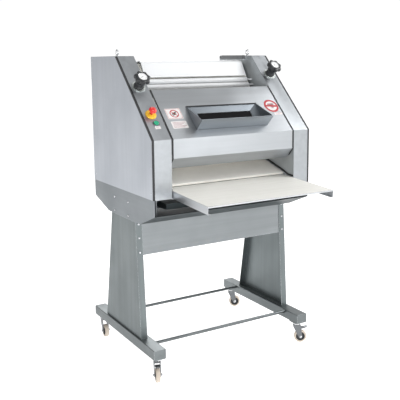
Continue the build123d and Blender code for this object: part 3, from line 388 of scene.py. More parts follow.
node_looks = {
    steel_front: ["front_guard"],
    steel_panel: ["left_panel", "right_panel"],
    steel_side: ["left_side_cover", "right_side_cover", "rear_cover"],
    steel_base: ["base_sides"],
    steel_pan_painted_shade: ["base_pan", "crumb_tray"],
    steel_inner: ["inner_walls", "table_brackets", "roller_scraper"],
    steel_table: ["table_frame"],
    steel_hopper: ["hopper"],
    stand_legs: ["legs"],
    stand_beams: ["cross_beams"],
    stand_feet: ["foot_beams"],
    flange_plate: ["handwheel_flanges"],
    plated: ["cross_ties"],
    fork_zinc: ["castor_plates"] + [name for name in nodes if name.endswith(("_fork", "_pedal"))],
    polished: ["lifting_eyes"],
    rod_metal: ["tie_rods", "stand_bolts"],
    rubber: ["edge_trims", "guard_trims", "cable_gland"],
    lever_paint: ["release_lever"],
    knob_plastic: ["left_handwheel", "right_handwheel"],
    white_cover: ["belt_cover", "guide_bars"],
    belt_felt: ["moulding_belt", "delivery_belt"],
    board_cream: ["table_top"],
    roller_plastic: ["pressure_board"],
    roller_painted_shade: ["front_roller", "rear_roller"],
    roller_metal: ["top_roller", "front_idler", "rear_idler", "nose_roller", "tail_roller"],
    iron: ["drive_sprocket", "drive_chain", "roller_bearings", "roller_carriage"],
    motor_paint: ["gearmotor"],
    yellow: ["estop_collar"],
    red: ["estop_button"],
    green: ["start_button"],
    tyre_rubber: [name for name in nodes if name.endswith("_wheel")],
}


def soften(piece, width, angle=35):
    """Rounds a piece's sharp edges and shades it smoothly."""
    piece.data.shade_smooth()
    piece.data.set_sharp_from_angle(angle=math.radians(angle))
    rounding = piece.modifiers.new("rounding", "BEVEL")
    rounding.width = width
    rounding.segments = 2
    rounding.limit_method = "ANGLE"
    rounding.angle_limit = math.radians(angle)
    rounding.harden_normals = True


for look, names in node_looks.items():
    for name in names:
        nodes[name].data.materials.clear()
        nodes[name].data.materials.append(look.material)

# ---------------------------------------------------------------- mesh helpers


def add_piece(name, mesh, look, body, rounding=None, angle=35):
    """Links a mesh as a piece that rides on a body."""
    piece = bpy.data.objects.new(name, mesh)
    bpy.context.scene.collection.objects.link(piece)
    piece.data.materials.append(look.material)
    if rounding:
        soften(piece, rounding, angle)
    else:
        piece.data.shade_smooth()
        piece.data.set_sharp_from_angle(angle=math.radians(angle))
    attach(piece, body)
    return piece


def round_radius(radius, angle):
    """The radius rule of a plain circle, the same at every angle."""
    return radius


def sided(count, turn=0.0):
    """A radius rule that gives a regular polygon."""
    step = 2 * math.pi / count

    def radius_at(radius, angle):
        off = (angle + turn) % step - step / 2
        return radius * math.cos(step / 2) / math.cos(off)

    return radius_at


def lobed(count, depth):
    """A radius rule that gives round lobes with soft valleys."""

    def radius_at(radius, angle):
        wave = 0.5 + 0.5 * math.cos(count * angle)
        return radius * (1 - depth * (1 - wave ** 0.8))

    return radius_at


def turn_outline(mesh, outline, place, steps=48, closed=False):
    """Adds a turned shape to a bmesh. outline holds (radius, height) or (radius, height, radius rule)."""
    rings = []
    for radius, height, *rule in outline:
        radius_at = rule[0] if rule else round_radius
        ring = []
        if radius < 1e-7:
            ring = [mesh.verts.new(place @ Vector((0, 0, height)))] * steps
        else:
            for step in range(steps):
                angle = 2 * math.pi * step / steps
                r = radius_at(radius, angle)
                spot = Vector((r * math.cos(angle), r * math.sin(angle), height))
                ring.append(mesh.verts.new(place @ spot))
        rings.append(ring)
    pairs = list(zip(rings, rings[1:]))
    if closed:
        pairs.append((rings[-1], rings[0]))
    for low, high in pairs:
        for step in range(steps):
            after = (step + 1) % steps
            corners = [low[step], low[after], high[after], high[step]]
            unique = list(dict.fromkeys(corners))
            if len(unique) > 2:
                mesh.faces.new(unique)


def finish_mesh(name, mesh):
    """Turns a bmesh into mesh data with outward normals."""
    bmesh.ops.recalc_face_normals(mesh, faces=mesh.faces)
    data = bpy.data.meshes.new(name)
    mesh.to_mesh(data)
    mesh.free()
    return data


def turned(name, outline, places, look, body, steps=48, closed=False):
    """One piece made of the same turned shape at each place."""
    mesh = bmesh.new()
    for place in places:
        turn_outline(mesh, outline, place, steps, closed)
    return add_piece(name, finish_mesh(name, mesh), look, body)


def add_plate(mesh, outline, place, thickness):
    """Adds a flat plate with the given outline to a bmesh."""
    low = [mesh.verts.new(place @ Vector((x, y, 0))) for x, y in outline]
    high = [mesh.verts.new(place @ Vector((x, y, thickness))) for x, y in outline]
    mesh.faces.new(low[::-1])
    mesh.faces.new(high)
    for step in range(len(outline)):
        after = (step + 1) % len(outline)
        mesh.faces.new((low[step], low[after], high[after], high[step]))


def plates(name, outlines, place, thickness, look, body, rounding=None):
    """One piece made of several flat plates in one plane."""
    mesh = bmesh.new()
    for outline in outlines:
        add_plate(mesh, outline, place, thickness)
    return add_piece(name, finish_mesh(name, mesh), look, body, rounding)


def oblong(width, height, corner=0.0, x=0.0, y=0.0, turn=0.0):
    """Outline of a rectangle with rounded corners."""
    points = []
    for quarter, (sx, sy) in enumerate(((1, 1), (-1, 1), (-1, -1), (1, -1))):
        centre = Vector((sx * (width / 2 - corner), sy * (height / 2 - corner)))
        for step in range(5 if corner else 1):
            angle = math.pi / 2 * (quarter + step / 4)
            points.append(centre + Vector((math.cos(angle), math.sin(angle))) * corner)
    spin = Matrix.Rotation(turn, 2)
    return [tuple(spin @ point + Vector((x, y))) for point in points]


# ---------------------------------------------------------------- screws

HEXAGON = sided(6)
BUTTON_HEAD = [
    (0, 0.35), (0.42, 0.35, HEXAGON), (0.45, 0.62, HEXAGON), (0.5, 0.64),
    (0.72, 0.56), (0.92, 0.32), (1, 0.08), (1, 0),
]
COARSE_STEPS = 24
FINE_STEPS = 64


def screws(name, places, radius, look, body):
    """Button heads with a hexagon socket, one at each place."""
    outline = [(r * radius, h * radius, *rule) for r, h, *rule in BUTTON_HEAD]
    return turned(name, outline, places, look, body, COARSE_STEPS)


def lifted(place, out):
    """The same local frame, moved out along its z."""
    return place @ Matrix.Translation((0, 0, out))


BOLT_HEAD_R = 6.5 * MM
LEG_FACE = Vector((0, -1, 0.062))
LEG_TOP_Y = -10 * MM
LEG_BOLT_IN = 19 * MM
LEG_BOLTS_UP = (817 * MM, 742 * MM, 663 * MM)
BASE_BOLTS_Y = (75 * MM, 255 * MM)
BASE_BOLTS_UP = (850 * MM, 927 * MM)
leg_low, leg_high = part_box("legs")
base_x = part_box("base_sides")[1].x
bolt_places = []
for side in (-1, 1):
    for up in LEG_BOLTS_UP:
        drop = (leg_high.z - up) / (leg_high.z - leg_low.z)
        y = LEG_TOP_Y + (leg_low.y - LEG_TOP_Y) * drop
        bolt_places.append(frame_at((side * (leg_high.x - LEG_BOLT_IN), y, up), ACROSS, LEG_FACE))
    for y in BASE_BOLTS_Y:
        for up in BASE_BOLTS_UP:
            bolt_places.append(frame_at((side * base_x, y, up), UP, (side, 0, 0)))
bolts = screws("stand_bolt_heads", bolt_places, BOLT_HEAD_R, plated, "body")
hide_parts("stand_bolts")

COVER_SCREW_R = 3.2 * MM
COVER_SCREW_IN = 0.022
FRONT_EDGE_SCREWS_UP = (1.02, 1.15, 1.27)
BACK_EDGE_SCREWS_UP = (1.02, 1.25, 1.48, 1.68)
REAR_SCREWS_X = (-0.47, -0.16, 0.16, 0.47)
REAR_SCREWS_UP = (1.005, 1.60)
side_edges = [
    (FRONT + COVER_SCREW_IN, FRONT_EDGE_SCREWS_UP),
    (BACK - COVER_SCREW_IN, BACK_EDGE_SCREWS_UP),
]
cover_screws = []
for side in (-1, 1):
    for y, heights in side_edges:
        for z in heights:
            cover_screws.append(frame_at((side * HALF_WIDTH, y, z), UP, (side, 0, 0)))
for x in REAR_SCREWS_X:
    for z in REAR_SCREWS_UP:
        cover_screws.append(frame_at((x, BACK, z), UP, (0, 1, 0)))
screws("cover_screws", cover_screws, COVER_SCREW_R, plated, "body")

# ---------------------------------------------------------------- handwheels

LOBES = lobed(7, 0.17)
SHALLOW_LOBES = lobed(7, 0.13)
NECK = [
    (0, -0.010), (0.008, -0.010), (0.008, 0.0055), (0.026, 0.0055), (0.028, 0.0075),
    (0.028, 0.013), (0.025, 0.016), (0.023, 0.018), (0.023, 0.029), (0.026, 0.031),
    (0.026, 0.039), (0.022, 0.041), (0.022, 0.053), (0, 0.053),
]
KNOB = [
    (0, 0.0525), (0.020, 0.0525), (0.034, 0.0535, SHALLOW_LOBES), (0.043, 0.057, LOBES),
    (0.0455, 0.062, LOBES), (0.0455, 0.071, LOBES), (0.043, 0.0765, LOBES),
    (0.036, 0.0795, SHALLOW_LOBES), (0.0285, 0.080), (0.0265, 0.079), (0.0255, 0.0765), (0, 0.0765),
]
KNOB_STEPS = 112
DIAL_UP = 0.0772
DIAL_FACE = [(0, DIAL_UP), (0.0233, DIAL_UP), (0.0233, 0.0760), (0, 0.0760)]
DIAL_RING = [(0.0235, 0.0765), (0.0235, 0.0795), (0.0245, 0.0802), (0.0255, 0.0795), (0.0255, 0.0765)]
DIAL_CAP = [(0.0026, 0.0775), (0.0026, 0.0785), (0.0018, 0.0789), (0, 0.0789)]
POINTER = [(-0.004, -0.0012), (0.012, -0.0005), (0.016, 0), (0.012, 0.0005), (-0.004, 0.0012)]
POINTER_UP = 0.0775
POINTER_THICK = 0.0005
POINTER_TURN = math.radians(200)
TICKS = 24
LONG_TICK_EVERY = 6
LONG_TICK, SHORT_TICK = 0.0036, 0.002
TICK_WIDE = 0.0006
TICK_REACH = 0.0215
INK = 0.0001
FLANGE_SCREW_R = 2.6 * MM
FLANGE_SCREW_REACH = 0.0318
FLANGE_THICK = 0.005

ticks = []
for tick in range(TICKS):
    angle = 2 * math.pi * tick / TICKS
    length = LONG_TICK if tick % LONG_TICK_EVERY == 0 else SHORT_TICK
    reach = TICK_REACH - length / 2
    ticks.append(oblong(length, TICK_WIDE, 0, reach * math.cos(angle), reach * math.sin(angle), angle))

for side in ("left", "right"):
    node = f"{side}_handwheel"
    place = joint_place(f"{side}_handwheel_turn")
    stem = turned(f"{side}_handwheel_neck", NECK, [place], knob_plastic, node)
    wheel = turned(f"{side}_handwheel_knob", KNOB, [place], knob_plastic, node, KNOB_STEPS)
    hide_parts(node)
    turned(f"{side}_dial_ring", DIAL_RING, [place], polished, node, FINE_STEPS, True)
    turned(f"{side}_dial_face", DIAL_FACE, [place], dial_white, node)
    plates(f"{side}_dial_ticks", ticks, lifted(place, DIAL_UP), INK, print_dark, node)
    pointer_place = lifted(place @ Matrix.Rotation(POINTER_TURN, 4, "Z"), POINTER_UP)
    plates(f"{side}_dial_pointer", [POINTER], pointer_place, POINTER_THICK, print_dark, node)
    turned(f"{side}_dial_cap", DIAL_CAP, [place], polished, node, COARSE_STEPS)
    flange_screws = []
    for turn in (45, 135, 225, 315):
        spin = Matrix.Rotation(math.radians(turn), 4, "Z")
        flange_screws.append(place @ spin @ Matrix.Translation((FLANGE_SCREW_REACH, 0, FLANGE_THICK)))
    screws(f"{side}_flange_screws", flange_screws, FLANGE_SCREW_R, plated, "body")

# ---------------------------------------------------------------- buttons

stop_x, stop_up = slope_place("estop_collar")
stop_place = on_slope(stop_x, stop_up)
collar_high = (SLOPE.inverted() @ middle("estop_collar")).z * 2
collar = [
    (0.0082, 0.002), (0.0082, collar_high), (0.018, collar_high), (0.0245, collar_high - 0.0008),
    (0.0262, collar_high - 0.003), (0.0295, 0.003), (0.030, 0.001), (0.030, 0.0001), (0.0082, 0.0001),
]
collar_piece = turned("estop_collar_ring", collar, [stop_place], yellow, "body", FINE_STEPS, True)
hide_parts("estop_collar")
MUSHROOM = [
    (0, 0.010), (0.008, 0.010), (0.008, 0.027), (0.0125, 0.0285), (0.019, 0.0298), (0.0205, 0.0315),
    (0.0205, 0.0345), (0.0195, 0.0385), (0.0165, 0.0418), (0.012, 0.0434), (0.006, 0.0439), (0, 0.044),
]
mushroom_piece = turned("estop_mushroom", MUSHROOM, [stop_place], red, "estop_button", FINE_STEPS)
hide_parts("estop_button")
ARROW = [
    (0.0098, -0.0035), (0.0118, -0.0035), (0.0118, 0.001), (0.0135, 0.001),
    (0.0108, 0.0045), (0.0081, 0.001), (0.0098, 0.001),
]
ARROWS_UP = 0.0428
ARROWS_THICK = 0.0010
arrows = []
for turn in (0, 120, 240):
    spin = Matrix.Rotation(math.radians(turn), 2)
    arrows.append([tuple(spin @ Vector(point)) for point in ARROW])
plates("estop_arrows", arrows, lifted(stop_place, ARROWS_UP), ARROWS_THICK, print_pink, "estop_button")

START_CAP = [
    (0, -0.014), (0.0138, -0.014), (0.0140, -0.013), (0.0140, 0.0045), (0.0134, 0.0062),
    (0.012, 0.0069), (0.0095, 0.0066), (0.004, 0.0060), (0, 0.0059),
]
BEZEL = [(0.0146, 0.003), (0.0146, 0.0044), (0.0158, 0.0048), (0.0172, 0.0040), (0.0178, 0.003)]
START_LABEL_DOWN = 0.028
STICKER_GAP = 0.0001
FILM = 0.0003
start_x, start_up = slope_place("start_button")
start_place = on_slope(start_x, start_up)
start_piece = turned("start_cap", START_CAP, [start_place], green, "start_button")
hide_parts("start_button")
turned("start_bezel", BEZEL, [start_place], rod_metal, "body", closed=True)
start_label = on_slope(start_x, start_up - START_LABEL_DOWN, STICKER_GAP)
plates("start_label", [oblong(0.032, 0.018, 0.001)], start_label, FILM, print_white, "body")
marks = [oblong(0.018, 0.0012, 0, 0, 0.003), oblong(0.012, 0.0012, 0, 0, -0.002)]
plates("start_label_lines", marks, lifted(start_label, FILM), INK, print_grey, "body")

# ---------------------------------------------------------------- stickers on the guard

# (x, distance up the slope) of each sticker's middle
LEFT_SIGN_AT = (-0.311, 0.168)
LEFT_LABEL_AT = (-0.306, 0.092)
RIGHT_SIGN_AT = (0.330, 0.187)
RIGHT_LABEL_AT = (0.352, 0.128)
RIGHT_SIGN_R = 0.047
THICK_INK = 0.0002


def ring_outline(radius, width, name, place, look, body):
    """A printed ring."""
    outline = [(radius - width, 0), (radius - width, THICK_INK), (radius, THICK_INK), (radius, 0)]
    return turned(name, outline, [place], look, body, FINE_STEPS, True)


MARK_X = 0.002
sign_place = on_slope(*LEFT_SIGN_AT, STICKER_GAP)
sign_print = lifted(sign_place, FILM)
plates("left_sign", [oblong(0.090, 0.072, 0.003)], sign_place, FILM, print_white, "guard")
edge = [
    oblong(0.084, 0.0014, 0, 0, 0.0325), oblong(0.084, 0.0014, 0, 0, -0.0325),
    oblong(0.0014, 0.065, 0, -0.0413, 0), oblong(0.0014, 0.065, 0, 0.0413, 0),
]
plates("left_sign_edge", edge, sign_print, INK, print_red, "guard")
mark_middle = sign_print @ Matrix.Translation((MARK_X, 0, 0))
ring_outline(0.026, 0.005, "left_sign_ring", mark_middle, print_red, "guard")
glyph = [
    oblong(0.034, 0.0075, 0.003, MARK_X, 0.004, 0.5), oblong(0.026, 0.006, 0.0025, MARK_X, -0.006, 0.5),
    oblong(0.012, 0.012, 0.005, MARK_X, 0.0, 0),
]
plates("left_sign_mark", glyph, sign_print, INK, print_green, "guard")
bar = oblong(0.044, 0.0042, 0, MARK_X, 0, -0.8)
plates("left_sign_bar", [bar], lifted(sign_print, THICK_INK), INK, print_red, "guard")

LINES = 5
LINE_LONG = 0.076
LINE_SHORTER = 0.012
LINE_HIGH = 0.0026
FIRST_LINE_UP = 0.016
LINE_PITCH = 0.008
label_place = on_slope(*LEFT_LABEL_AT, STICKER_GAP)
plates("left_label", [oblong(0.091, 0.048, 0.002)], label_place, FILM, print_white, "guard")
lines = []
for row in range(LINES):
    length = LINE_LONG - LINE_SHORTER * (row % 3)
    lines.append(oblong(length, LINE_HIGH, 0, (length - LINE_LONG) / 2, FIRST_LINE_UP - LINE_PITCH * row))
plates("left_label_lines", lines, lifted(label_place, FILM), INK, print_grey, "guard")

stop_sign = on_slope(*RIGHT_SIGN_AT, STICKER_GAP)
stop_print = lifted(stop_sign, FILM)
disc = [(0, FILM), (RIGHT_SIGN_R, FILM), (RIGHT_SIGN_R, 0), (0, 0)]
turned("right_sign", disc, [stop_sign], print_white, "guard", FINE_STEPS)
ring_outline(0.0468, 0.0125, "right_sign_ring", stop_print, print_red, "guard")
bar = oblong(0.074, 0.0125, 0, 0, 0, -0.1)
plates("right_sign_bar", [bar], lifted(stop_print, INK), THICK_INK, print_red, "guard")
mark = [oblong(0.044, 0.014, 0.005, 0, 0.012, 0.0), oblong(0.020, 0.030, 0.008, 0.004, 0, 0.0)]
plates("right_sign_mark", mark, stop_print, INK, print_grey, "guard")
THIN_FILM = 0.0002
note_place = on_slope(*RIGHT_LABEL_AT, STICKER_GAP)
plates("right_label", [oblong(0.056, 0.016, 0.001)], note_place, THIN_FILM, print_white, "guard")
note_lines = [oblong(0.046, 0.0024, 0, 0, 0.0035), oblong(0.034, 0.0024, 0, -0.006, -0.0035)]
plates("right_label_lines", note_lines, lifted(note_place, THIN_FILM), INK, print_grey, "guard")

# ---------------------------------------------------------------- hopper

SHEET = 0.002
THROAT_DEEP = 0.012
THROAT_FROM_LIP = 0.118
THROAT_INSET = 0.057
FLAP_LONG = 0.062
FLAP_DEEP = 0.0134
LIP_FOLD = 0.005
LIP_FLAT = 0.004
RIM_PROUD = 0.0015
SHEET_EDGE = 0.0004


def slab(mesh, corners, thick):
    """Adds a flat sheet with the given slope corners, thickened by a slope vector."""
    near = [mesh.verts.new(SLOPE @ Vector(corner)) for corner in corners]
    far = [mesh.verts.new(SLOPE @ (Vector(corner) + Vector(thick))) for corner in corners]
    mesh.faces.new(near)
    mesh.faces.new(far[::-1])
    for step in range(len(corners)):
        after = (step + 1) % len(corners)
        mesh.faces.new((near[step], far[step], far[after], near[after]))


# The lip is the hopper's outermost edge. The rim lies on the slope, between 1 and 2 mm out of it.
to_slope = SLOPE.inverted() @ nodes["hopper"].matrix_world
spots = [to_slope @ vertex.co for vertex in nodes["hopper"].data.vertices]
proud = max(spot.z for spot in spots)
deep = min(spot.z for spot in spots)
lip = [spot for spot in spots if spot.z > proud - 1 * MM]
lip_up = min(spot.y for spot in lip)
left_x, right_x = min(spot.x for spot in lip), max(spot.x for spot in lip)
NEAR = 0.2 * MM
rim = [spot for spot in spots if 1 * MM < spot.z < 2 * MM and left_x - NEAR < spot.x < right_x + NEAR]
rim_up = max(spot.y for spot in rim)
throat_up = lip_up + THROAT_FROM_LIP
throat_left, throat_right = left_x + THROAT_INSET, right_x - THROAT_INSET
hopper_mesh = bmesh.new()
inside_mesh = bmesh.new()
slab(
    hopper_mesh,
    [(left_x, lip_up, deep), (right_x, lip_up, deep), (right_x, lip_up, proud), (left_x, lip_up, proud)],
    (0, SHEET, 0),
)
slab(
    hopper_mesh,
    [(left_x, lip_up, proud - SHEET), (right_x, lip_up, proud - SHEET)]
    + [(right_x, lip_up, proud), (left_x, lip_up, proud)],
    (0, LIP_FOLD, 0),
)
for x, throat_x, inwards in ((left_x, throat_left, 1), (right_x, throat_right, -1)):
    slab(
        hopper_mesh,
        [(x, lip_up, -SHEET), (x, rim_up, -SHEET), (x, rim_up, RIM_PROUD)]
        + [(x, lip_up + LIP_FLAT, proud), (x, lip_up, proud)],
        (inwards * SHEET, 0, 0),
    )
    slab(
        inside_mesh,
        [(x, lip_up, -SHEET), (throat_x, lip_up, -THROAT_DEEP)]
        + [(throat_x, throat_up, -THROAT_DEEP), (x, rim_up, -SHEET)],
        (0, 0, SHEET),
    )
slab(
    inside_mesh,
    [(left_x, rim_up, -SHEET), (right_x, rim_up, -SHEET)]
    + [(throat_right, throat_up, -THROAT_DEEP), (throat_left, throat_up, -THROAT_DEEP)],
    (0, 0, SHEET),
)
hopper_data = finish_mesh("hopper_sheet", hopper_mesh)
hopper_piece = add_piece("hopper_sheet", hopper_data, steel_hopper, "guard", SHEET_EDGE)
inside_data = finish_mesh("hopper_inside", inside_mesh)
# The inner sheets take the darker copy of the hopper steel: painted shade.
add_piece("hopper_inside", inside_data, steel_inside_painted_shade, "guard", SHEET_EDGE)
# A black rubber flap hung below the throat's back edge, made extra dark and dull as painted shade in the
# throat.
flap_mesh = bmesh.new()
slab(
    flap_mesh,
    [(throat_left, throat_up, -THROAT_DEEP), (throat_right, throat_up, -THROAT_DEEP)]
    + [(throat_right, throat_up - FLAP_LONG, -FLAP_DEEP), (throat_left, throat_up - FLAP_LONG, -FLAP_DEEP)],
    (0, 0, -SHEET),
)
add_piece("hopper_flap", finish_mesh("hopper_flap", flap_mesh), flap_rubber_painted_shade, "guard", SHEET_EDGE)
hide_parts("hopper")
STRIP_BELOW_RIM = 0.002
STRIP_OUT = 0.0016
STRIP_THICK = 0.0022
STRIP_EDGE = 0.0005
strip_place = on_slope((left_x + right_x) / 2, rim_up - STRIP_BELOW_RIM, STRIP_OUT)
strip = oblong(right_x - left_x, 0.006, 0.001)
plates("hopper_strip", [strip], strip_place, STRIP_THICK, rubber, "guard", STRIP_EDGE)

# ---------------------------------------------------------------- belts

CIRCLE_STEPS = 180
BELT_STEP = 0.006
BELT_COLUMN = 0.012
MOULDING_THICK = 0.004
DELIVERY_THICK = 0.002
RIPPLE = 0.0003
FRAY = 0.0008
FIT = 0.0003


def roller_radius(node):
    """Half a roller's height."""
    low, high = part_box(node)
    return (high.z - low.z) / 2


def wheel_circle(joint, radius):
    """(y, z, radius) of a belt's inner face on a roller, from its spin joint."""
    _, y, z = joints[joint]["pos_m"]
    return y, z, radius + FIT


def hull_path(circles):
    """Taut path round some circles, as (y, z) points in order."""
    cloud = []
    for y, z, radius in circles:
        for step in range(CIRCLE_STEPS):
            angle = 2 * math.pi * step / CIRCLE_STEPS
            cloud.append((y + radius * math.cos(angle), z + radius * math.sin(angle)))
    cloud.sort()
    halves = []
    for points in (cloud, cloud[::-1]):
        half = []
        for point in points:
            while len(half) > 1:
                (ay, az), (by, bz) = half[-2:]
                if (by - ay) * (point[1] - az) - (bz - az) * (point[0] - ay) > 0:
                    break
                half.pop()
            half.append(point)
        halves += half[:-1]
    return [Vector(point) for point in halves]


def even_path(path, count):
    """The closed path again as evenly spaced points, and its length."""
    sides = [(path[i], path[(i + 1) % len(path)]) for i in range(len(path))]
    total = sum((b - a).length for a, b in sides)
    points = []
    passed = 0.0
    side = 0
    for step in range(count):
        wanted = total * step / count
        while passed + (sides[side][1] - sides[side][0]).length < wanted:
            passed += (sides[side][1] - sides[side][0]).length
            side += 1
        a, b = sides[side]
        points.append(a + (b - a).normalized() * (wanted - passed))
    return points, total


def band(name, node, circles, thick, look):
    """A felt band with thickness, taut round some rollers."""
    low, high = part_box(node)
    wide = high.x - low.x
    inner_path = hull_path(circles)
    count = round(even_path(inner_path, 1)[1] / BELT_STEP)
    inner, length = even_path(inner_path, count)
    columns = round(wide / BELT_COLUMN)
    mesh = bmesh.new()
    shells = []
    for grow in (0.0, thick):
        rows = []
        for step, point in enumerate(inner):
            along = (inner[(step + 1) % count] - inner[step - 1]).normalized()
            out = Vector((along.y, -along.x))
            row = []
            for column in range(columns + 1):
                share = column / columns
                ripple = 0.0
                if grow:
                    ripple = RIPPLE * (noise.noise(Vector((9 * share, 0.12 * step, 3))) - 0.6)
                fray = 0.0
                if column in (0, columns):
                    fray = FRAY * noise.noise(Vector((share * 5, 0.7 * step, 8)))
                spot = point + out * (grow + ripple)
                row.append(mesh.verts.new((low.x + share * wide + fray, spot.x, spot.y)))
            rows.append(row)
        shells.append(rows)
    for step in range(count):
        after = (step + 1) % count
        for rows in shells:
            near, far = rows[step], rows[after]
            for column in range(columns):
                mesh.faces.new((near[column], near[column + 1], far[column + 1], far[column]))
        for column in (0, columns):
            a, b = shells
            mesh.faces.new((a[step][column], a[after][column], b[after][column], b[step][column]))
    piece = add_piece(name, finish_mesh(name, mesh), look, "body", None, 60)
    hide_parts(node)


# The moulding belt's three rollers have one radius. The top one's box also holds its chain wheel.
idler_r = roller_radius("front_idler")
moulding_circles = [
    wheel_circle(joint, idler_r) for joint in ("top_roller_spin", "front_idler_spin", "rear_idler_spin")
]
band("moulding_band", "moulding_belt", moulding_circles, MOULDING_THICK, belt_felt)
delivery_circles = [
    wheel_circle(f"{roller}_spin", roller_radius(roller)) for roller in ("nose_roller", "tail_roller")
]
band("delivery_band", "delivery_belt", delivery_circles, DELIVERY_THICK, belt_felt)

# ---------------------------------------------------------------- castors

TYRE = [
    (0.0270, -0.0115), (0.0310, -0.0120), (0.0345, -0.0114), (0.0367, -0.0088), (0.0375, -0.0040),
    (0.0375, 0.0040), (0.0367, 0.0088), (0.0345, 0.0114), (0.0310, 0.0120), (0.0270, 0.0115),
]
TYRE_STEPS = 72
HUB = [
    (0.00515, -0.0133), (0.0095, -0.0133), (0.0105, -0.0125), (0.0125, -0.0070), (0.0215, -0.0070),
    (0.0240, -0.0105), (0.0270, -0.0110), (0.0270, 0.0110), (0.0240, 0.0105), (0.0215, 0.0070),
    (0.0125, 0.0070), (0.0105, 0.0125), (0.0095, 0.0133), (0.00515, 0.0133),
]
AXLE_NUT = [
    (0, 0.0265), (0.0035, 0.0265), (0.0062, 0.0262, HEXAGON), (0.0072, 0.0250, HEXAGON),
    (0.0072, 0.0181, HEXAGON), (0, 0.0181),
]
RACE = [
    (0.0200, 0.0000), (0.0232, 0.0008), (0.0240, 0.0035), (0.0232, 0.0065),
    (0.0200, 0.0080), (0.0180, 0.0080), (0.0180, 0.0),
]
RACE_DOWN = 0.0015
HUB_FACE = 0.0070
RIBS = 6
RIB_REACH = 0.0165
RIB_THICK = 0.0028
RIB_EDGE = 0.0004
for name in ("front_left", "front_right", "rear_left", "rear_right"):
    place = joint_place(f"{name}_roll", UP)
    body = f"{name}_wheel"
    tread = turned(f"{name}_tyre", TYRE, [place], tyre_rubber, body, TYRE_STEPS, True)
    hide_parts(body)
    turned(f"{name}_hub", HUB, [place], knob_plastic, body, FINE_STEPS, True)
    mesh = bmesh.new()
    for rib_low in (-HUB_FACE - RIB_THICK, HUB_FACE):
        for rib in range(RIBS):
            spin = Matrix.Rotation(2 * math.pi * rib / RIBS, 4, "Z")
            rib_place = place @ spin @ Matrix.Translation((RIB_REACH, 0, rib_low))
            add_plate(mesh, oblong(0.0115, 0.0022), rib_place, RIB_THICK)
    add_piece(f"{name}_ribs", finish_mesh(f"{name}_ribs", mesh), knob_plastic, body, RIB_EDGE)
    flipped = place @ Matrix.Rotation(math.pi, 4, "X")
    turned(f"{name}_axle_nuts", AXLE_NUT, [place, flipped], plated, f"{name}_fork")
    top = joint_place(f"{name}_swivel")
    turned(f"{name}_race", RACE, [lifted(top, -RACE_DOWN)], polished, "body", FINE_STEPS, True)

# ---------------------------------------------------------------- lifting eyes

EYE_IN = 0.010
EYE_R = 0.014
EYE_WIRE_R = 0.004
WIRE_STEPS = 16
EYE_COLLAR = [(0, 0), (0.010, 0), (0.010, 0.0035), (0.0085, 0.0052), (0.005, 0.0064), (0, 0.0066)]
EYE_COLLAR_STEPS = 40
section = []
for step in range(WIRE_STEPS):
    angle = 2 * math.pi * step / WIRE_STEPS
    section.append((EYE_R + EYE_WIRE_R * math.cos(angle), EYE_WIRE_R * math.sin(angle)))
eyes = bmesh.new()
low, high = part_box("lifting_eyes")
for x in (low.x + EYE_IN, high.x - EYE_IN):
    y = (low.y + high.y) / 2
    ring_place = frame_at((x, y, high.z - EYE_R - EYE_WIRE_R), UP, ACROSS)
    turn_outline(eyes, section, ring_place, FINE_STEPS, True)
    turn_outline(eyes, EYE_COLLAR, frame_at((x, y, TOP), ACROSS, UP), EYE_COLLAR_STEPS)
eye_piece = add_piece("lifting_rings", finish_mesh("lifting_rings", eyes), polished, "body")
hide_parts("lifting_eyes")

# ---------------------------------------------------------------- softened CAD nodes

SOFT_EDGE = 0.0006
SOFT_ANGLE = 30
SMOOTH_ANGLE = math.radians(35)
SOFT_NODES = [
    "foot_beams", "legs", "cross_beams", "release_lever", "belt_cover", "left_panel", "right_panel",
    "front_guard", "table_frame", "table_top", "base_sides", "base_pan", "inner_walls", "crumb_tray",
    "left_side_cover", "right_side_cover", "rear_cover", "cable_gland", "handwheel_flanges", "gearmotor",
]
for name, node in nodes.items():
    if name in SOFT_NODES or name.endswith(("_fork", "_pedal")):
        soften(node, SOFT_EDGE, SOFT_ANGLE)
    else:
        node.data.shade_smooth()
        node.data.set_sharp_from_angle(angle=SMOOTH_ANGLE)

# ---------------------------------------------------------------- stage, light and camera

FLOOR_GLOW = 0.56
FLOOR_SIZE = 60
floor_look = Look("floor", (0.93, 0.93, 0.93), Roughness=0.9)
floor_look.shade(floor_look.ramp(floor_look.noise(1.5), 0.4, 0.7), 0.99)
floor_look.shader.inputs["Emission Color"].default_value = (1, 1, 1, 1)
floor_look.shader.inputs["Emission Strength"].default_value = FLOOR_GLOW
floor_mesh = bmesh.new()
bmesh.ops.create_grid(floor_mesh, x_segments=1, y_segments=1, size=FLOOR_SIZE)
floor_data = bpy.data.meshes.new("floor")
floor_mesh.to_mesh(floor_data)
floor_mesh.free()
floor = bpy.data.objects.new("floor", floor_data)
bpy.context.scene.collection.objects.link(floor)
floor.data.materials.append(floor_look.material)
floor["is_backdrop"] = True

STUDIO_GLOW = 1.03
OVERHEAD = 0.62
LEFT_SIDE = 0.62


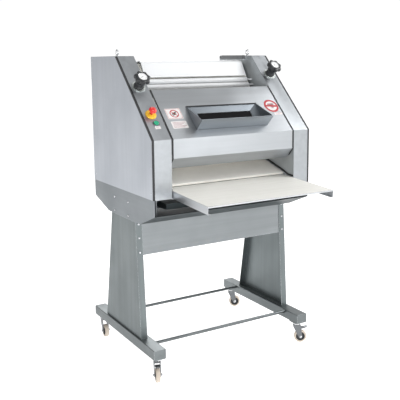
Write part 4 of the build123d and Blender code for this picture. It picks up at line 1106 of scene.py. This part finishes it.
def studio_world():
    """White at the horizon, darker overhead and on the left, as in a studio lit from the right."""
    world = bpy.data.worlds.new("studio")
    world.use_nodes = True
    tree = world.node_tree
    background = tree.nodes["Background"]
    place = tree.nodes.new("ShaderNodeTexCoord")
    split = tree.nodes.new("ShaderNodeSeparateXYZ")
    tree.links.new(place.outputs["Generated"], split.inputs[0])
    both = tree.nodes.new("ShaderNodeMath")
    both.operation = "MULTIPLY"
    for part, (axis, start, end, low, high) in enumerate((
        ("Z", 0.20, 0.80, 1.0, OVERHEAD),
        ("X", -0.35, 0.15, LEFT_SIDE, 1.0),
    )):
        fade = tree.nodes.new("ShaderNodeMapRange")
        tree.links.new(split.outputs[axis], fade.inputs["Value"])
        for socket, number in (("From Min", start), ("From Max", end), ("To Min", low), ("To Max", high)):
            fade.inputs[socket].default_value = number
        tree.links.new(fade.outputs[0], both.inputs[part])
    tree.links.new(both.outputs[0], background.inputs["Color"])
    background.inputs["Strength"].default_value = STUDIO_GLOW
    bpy.context.scene.world = world


def soft_light(name, place, target, size, power):
    """A square softbox."""
    data = bpy.data.lights.new(name, "AREA")
    data.size = size
    data.energy = power
    light = bpy.data.objects.new(name, data)
    bpy.context.scene.collection.objects.link(light)
    light.location = place
    light.rotation_euler = (Vector(target) - Vector(place)).to_track_quat("-Z", "Y").to_euler()


studio_world()
soft_light("key", (4.2, -1.8, 4.6), (0, 0, 1.1), 2.2, 160)
soft_light("low", (1.9, -4.3, 1.7), (0, 0, 1.1), 1.8, 16)
soft_light("near", (0.75, -2.4, 0.95), (-0.4, 0, 1.1), 1.0, 2)
soft_light("mouth", (-1.1, -1.9, 1.2), (0, -0.1, 1.05), 0.6, 14)
soft_light("back", (1.6, 4.2, 3.6), (0, 0, 1.4), 2.6, 90)

TARGET = Vector((0.0095, 0.160, 1.0748))
AZIMUTH, ELEVATION, ROLL = math.radians(-30.78), math.radians(8.76), math.radians(-0.53)
DISTANCE = 3.9757
SENSOR_MM = 36
LENS_MM = 60.795
SHIFT_SHARE = -0.0875


def photo_camera():
    """Camera at the photograph's angle, with a small shift for its framing."""
    data = bpy.data.cameras.new("camera")
    camera = bpy.data.objects.new("camera", data)
    bpy.context.scene.collection.objects.link(camera)
    back = Vector((
        math.sin(AZIMUTH) * math.cos(ELEVATION),
        -math.cos(AZIMUTH) * math.cos(ELEVATION),
        math.sin(ELEVATION),
    ))
    right = (-back).cross(UP).normalized()
    up = right.cross(-back)
    level_right = right * math.cos(ROLL) + up * math.sin(ROLL)
    level_up = up * math.cos(ROLL) - right * math.sin(ROLL)
    turn = Matrix((level_right, level_up, back)).transposed().to_4x4()
    camera.matrix_world = Matrix.Translation(TARGET + back * DISTANCE) @ turn
    data.sensor_width = SENSOR_MM
    data.lens = LENS_MM
    data.shift_y = SHIFT_SHARE
    data.clip_end = 200
    bpy.context.scene.camera = camera


photo_camera()
bpy.context.scene.view_settings.view_transform = "Standard"

low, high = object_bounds()
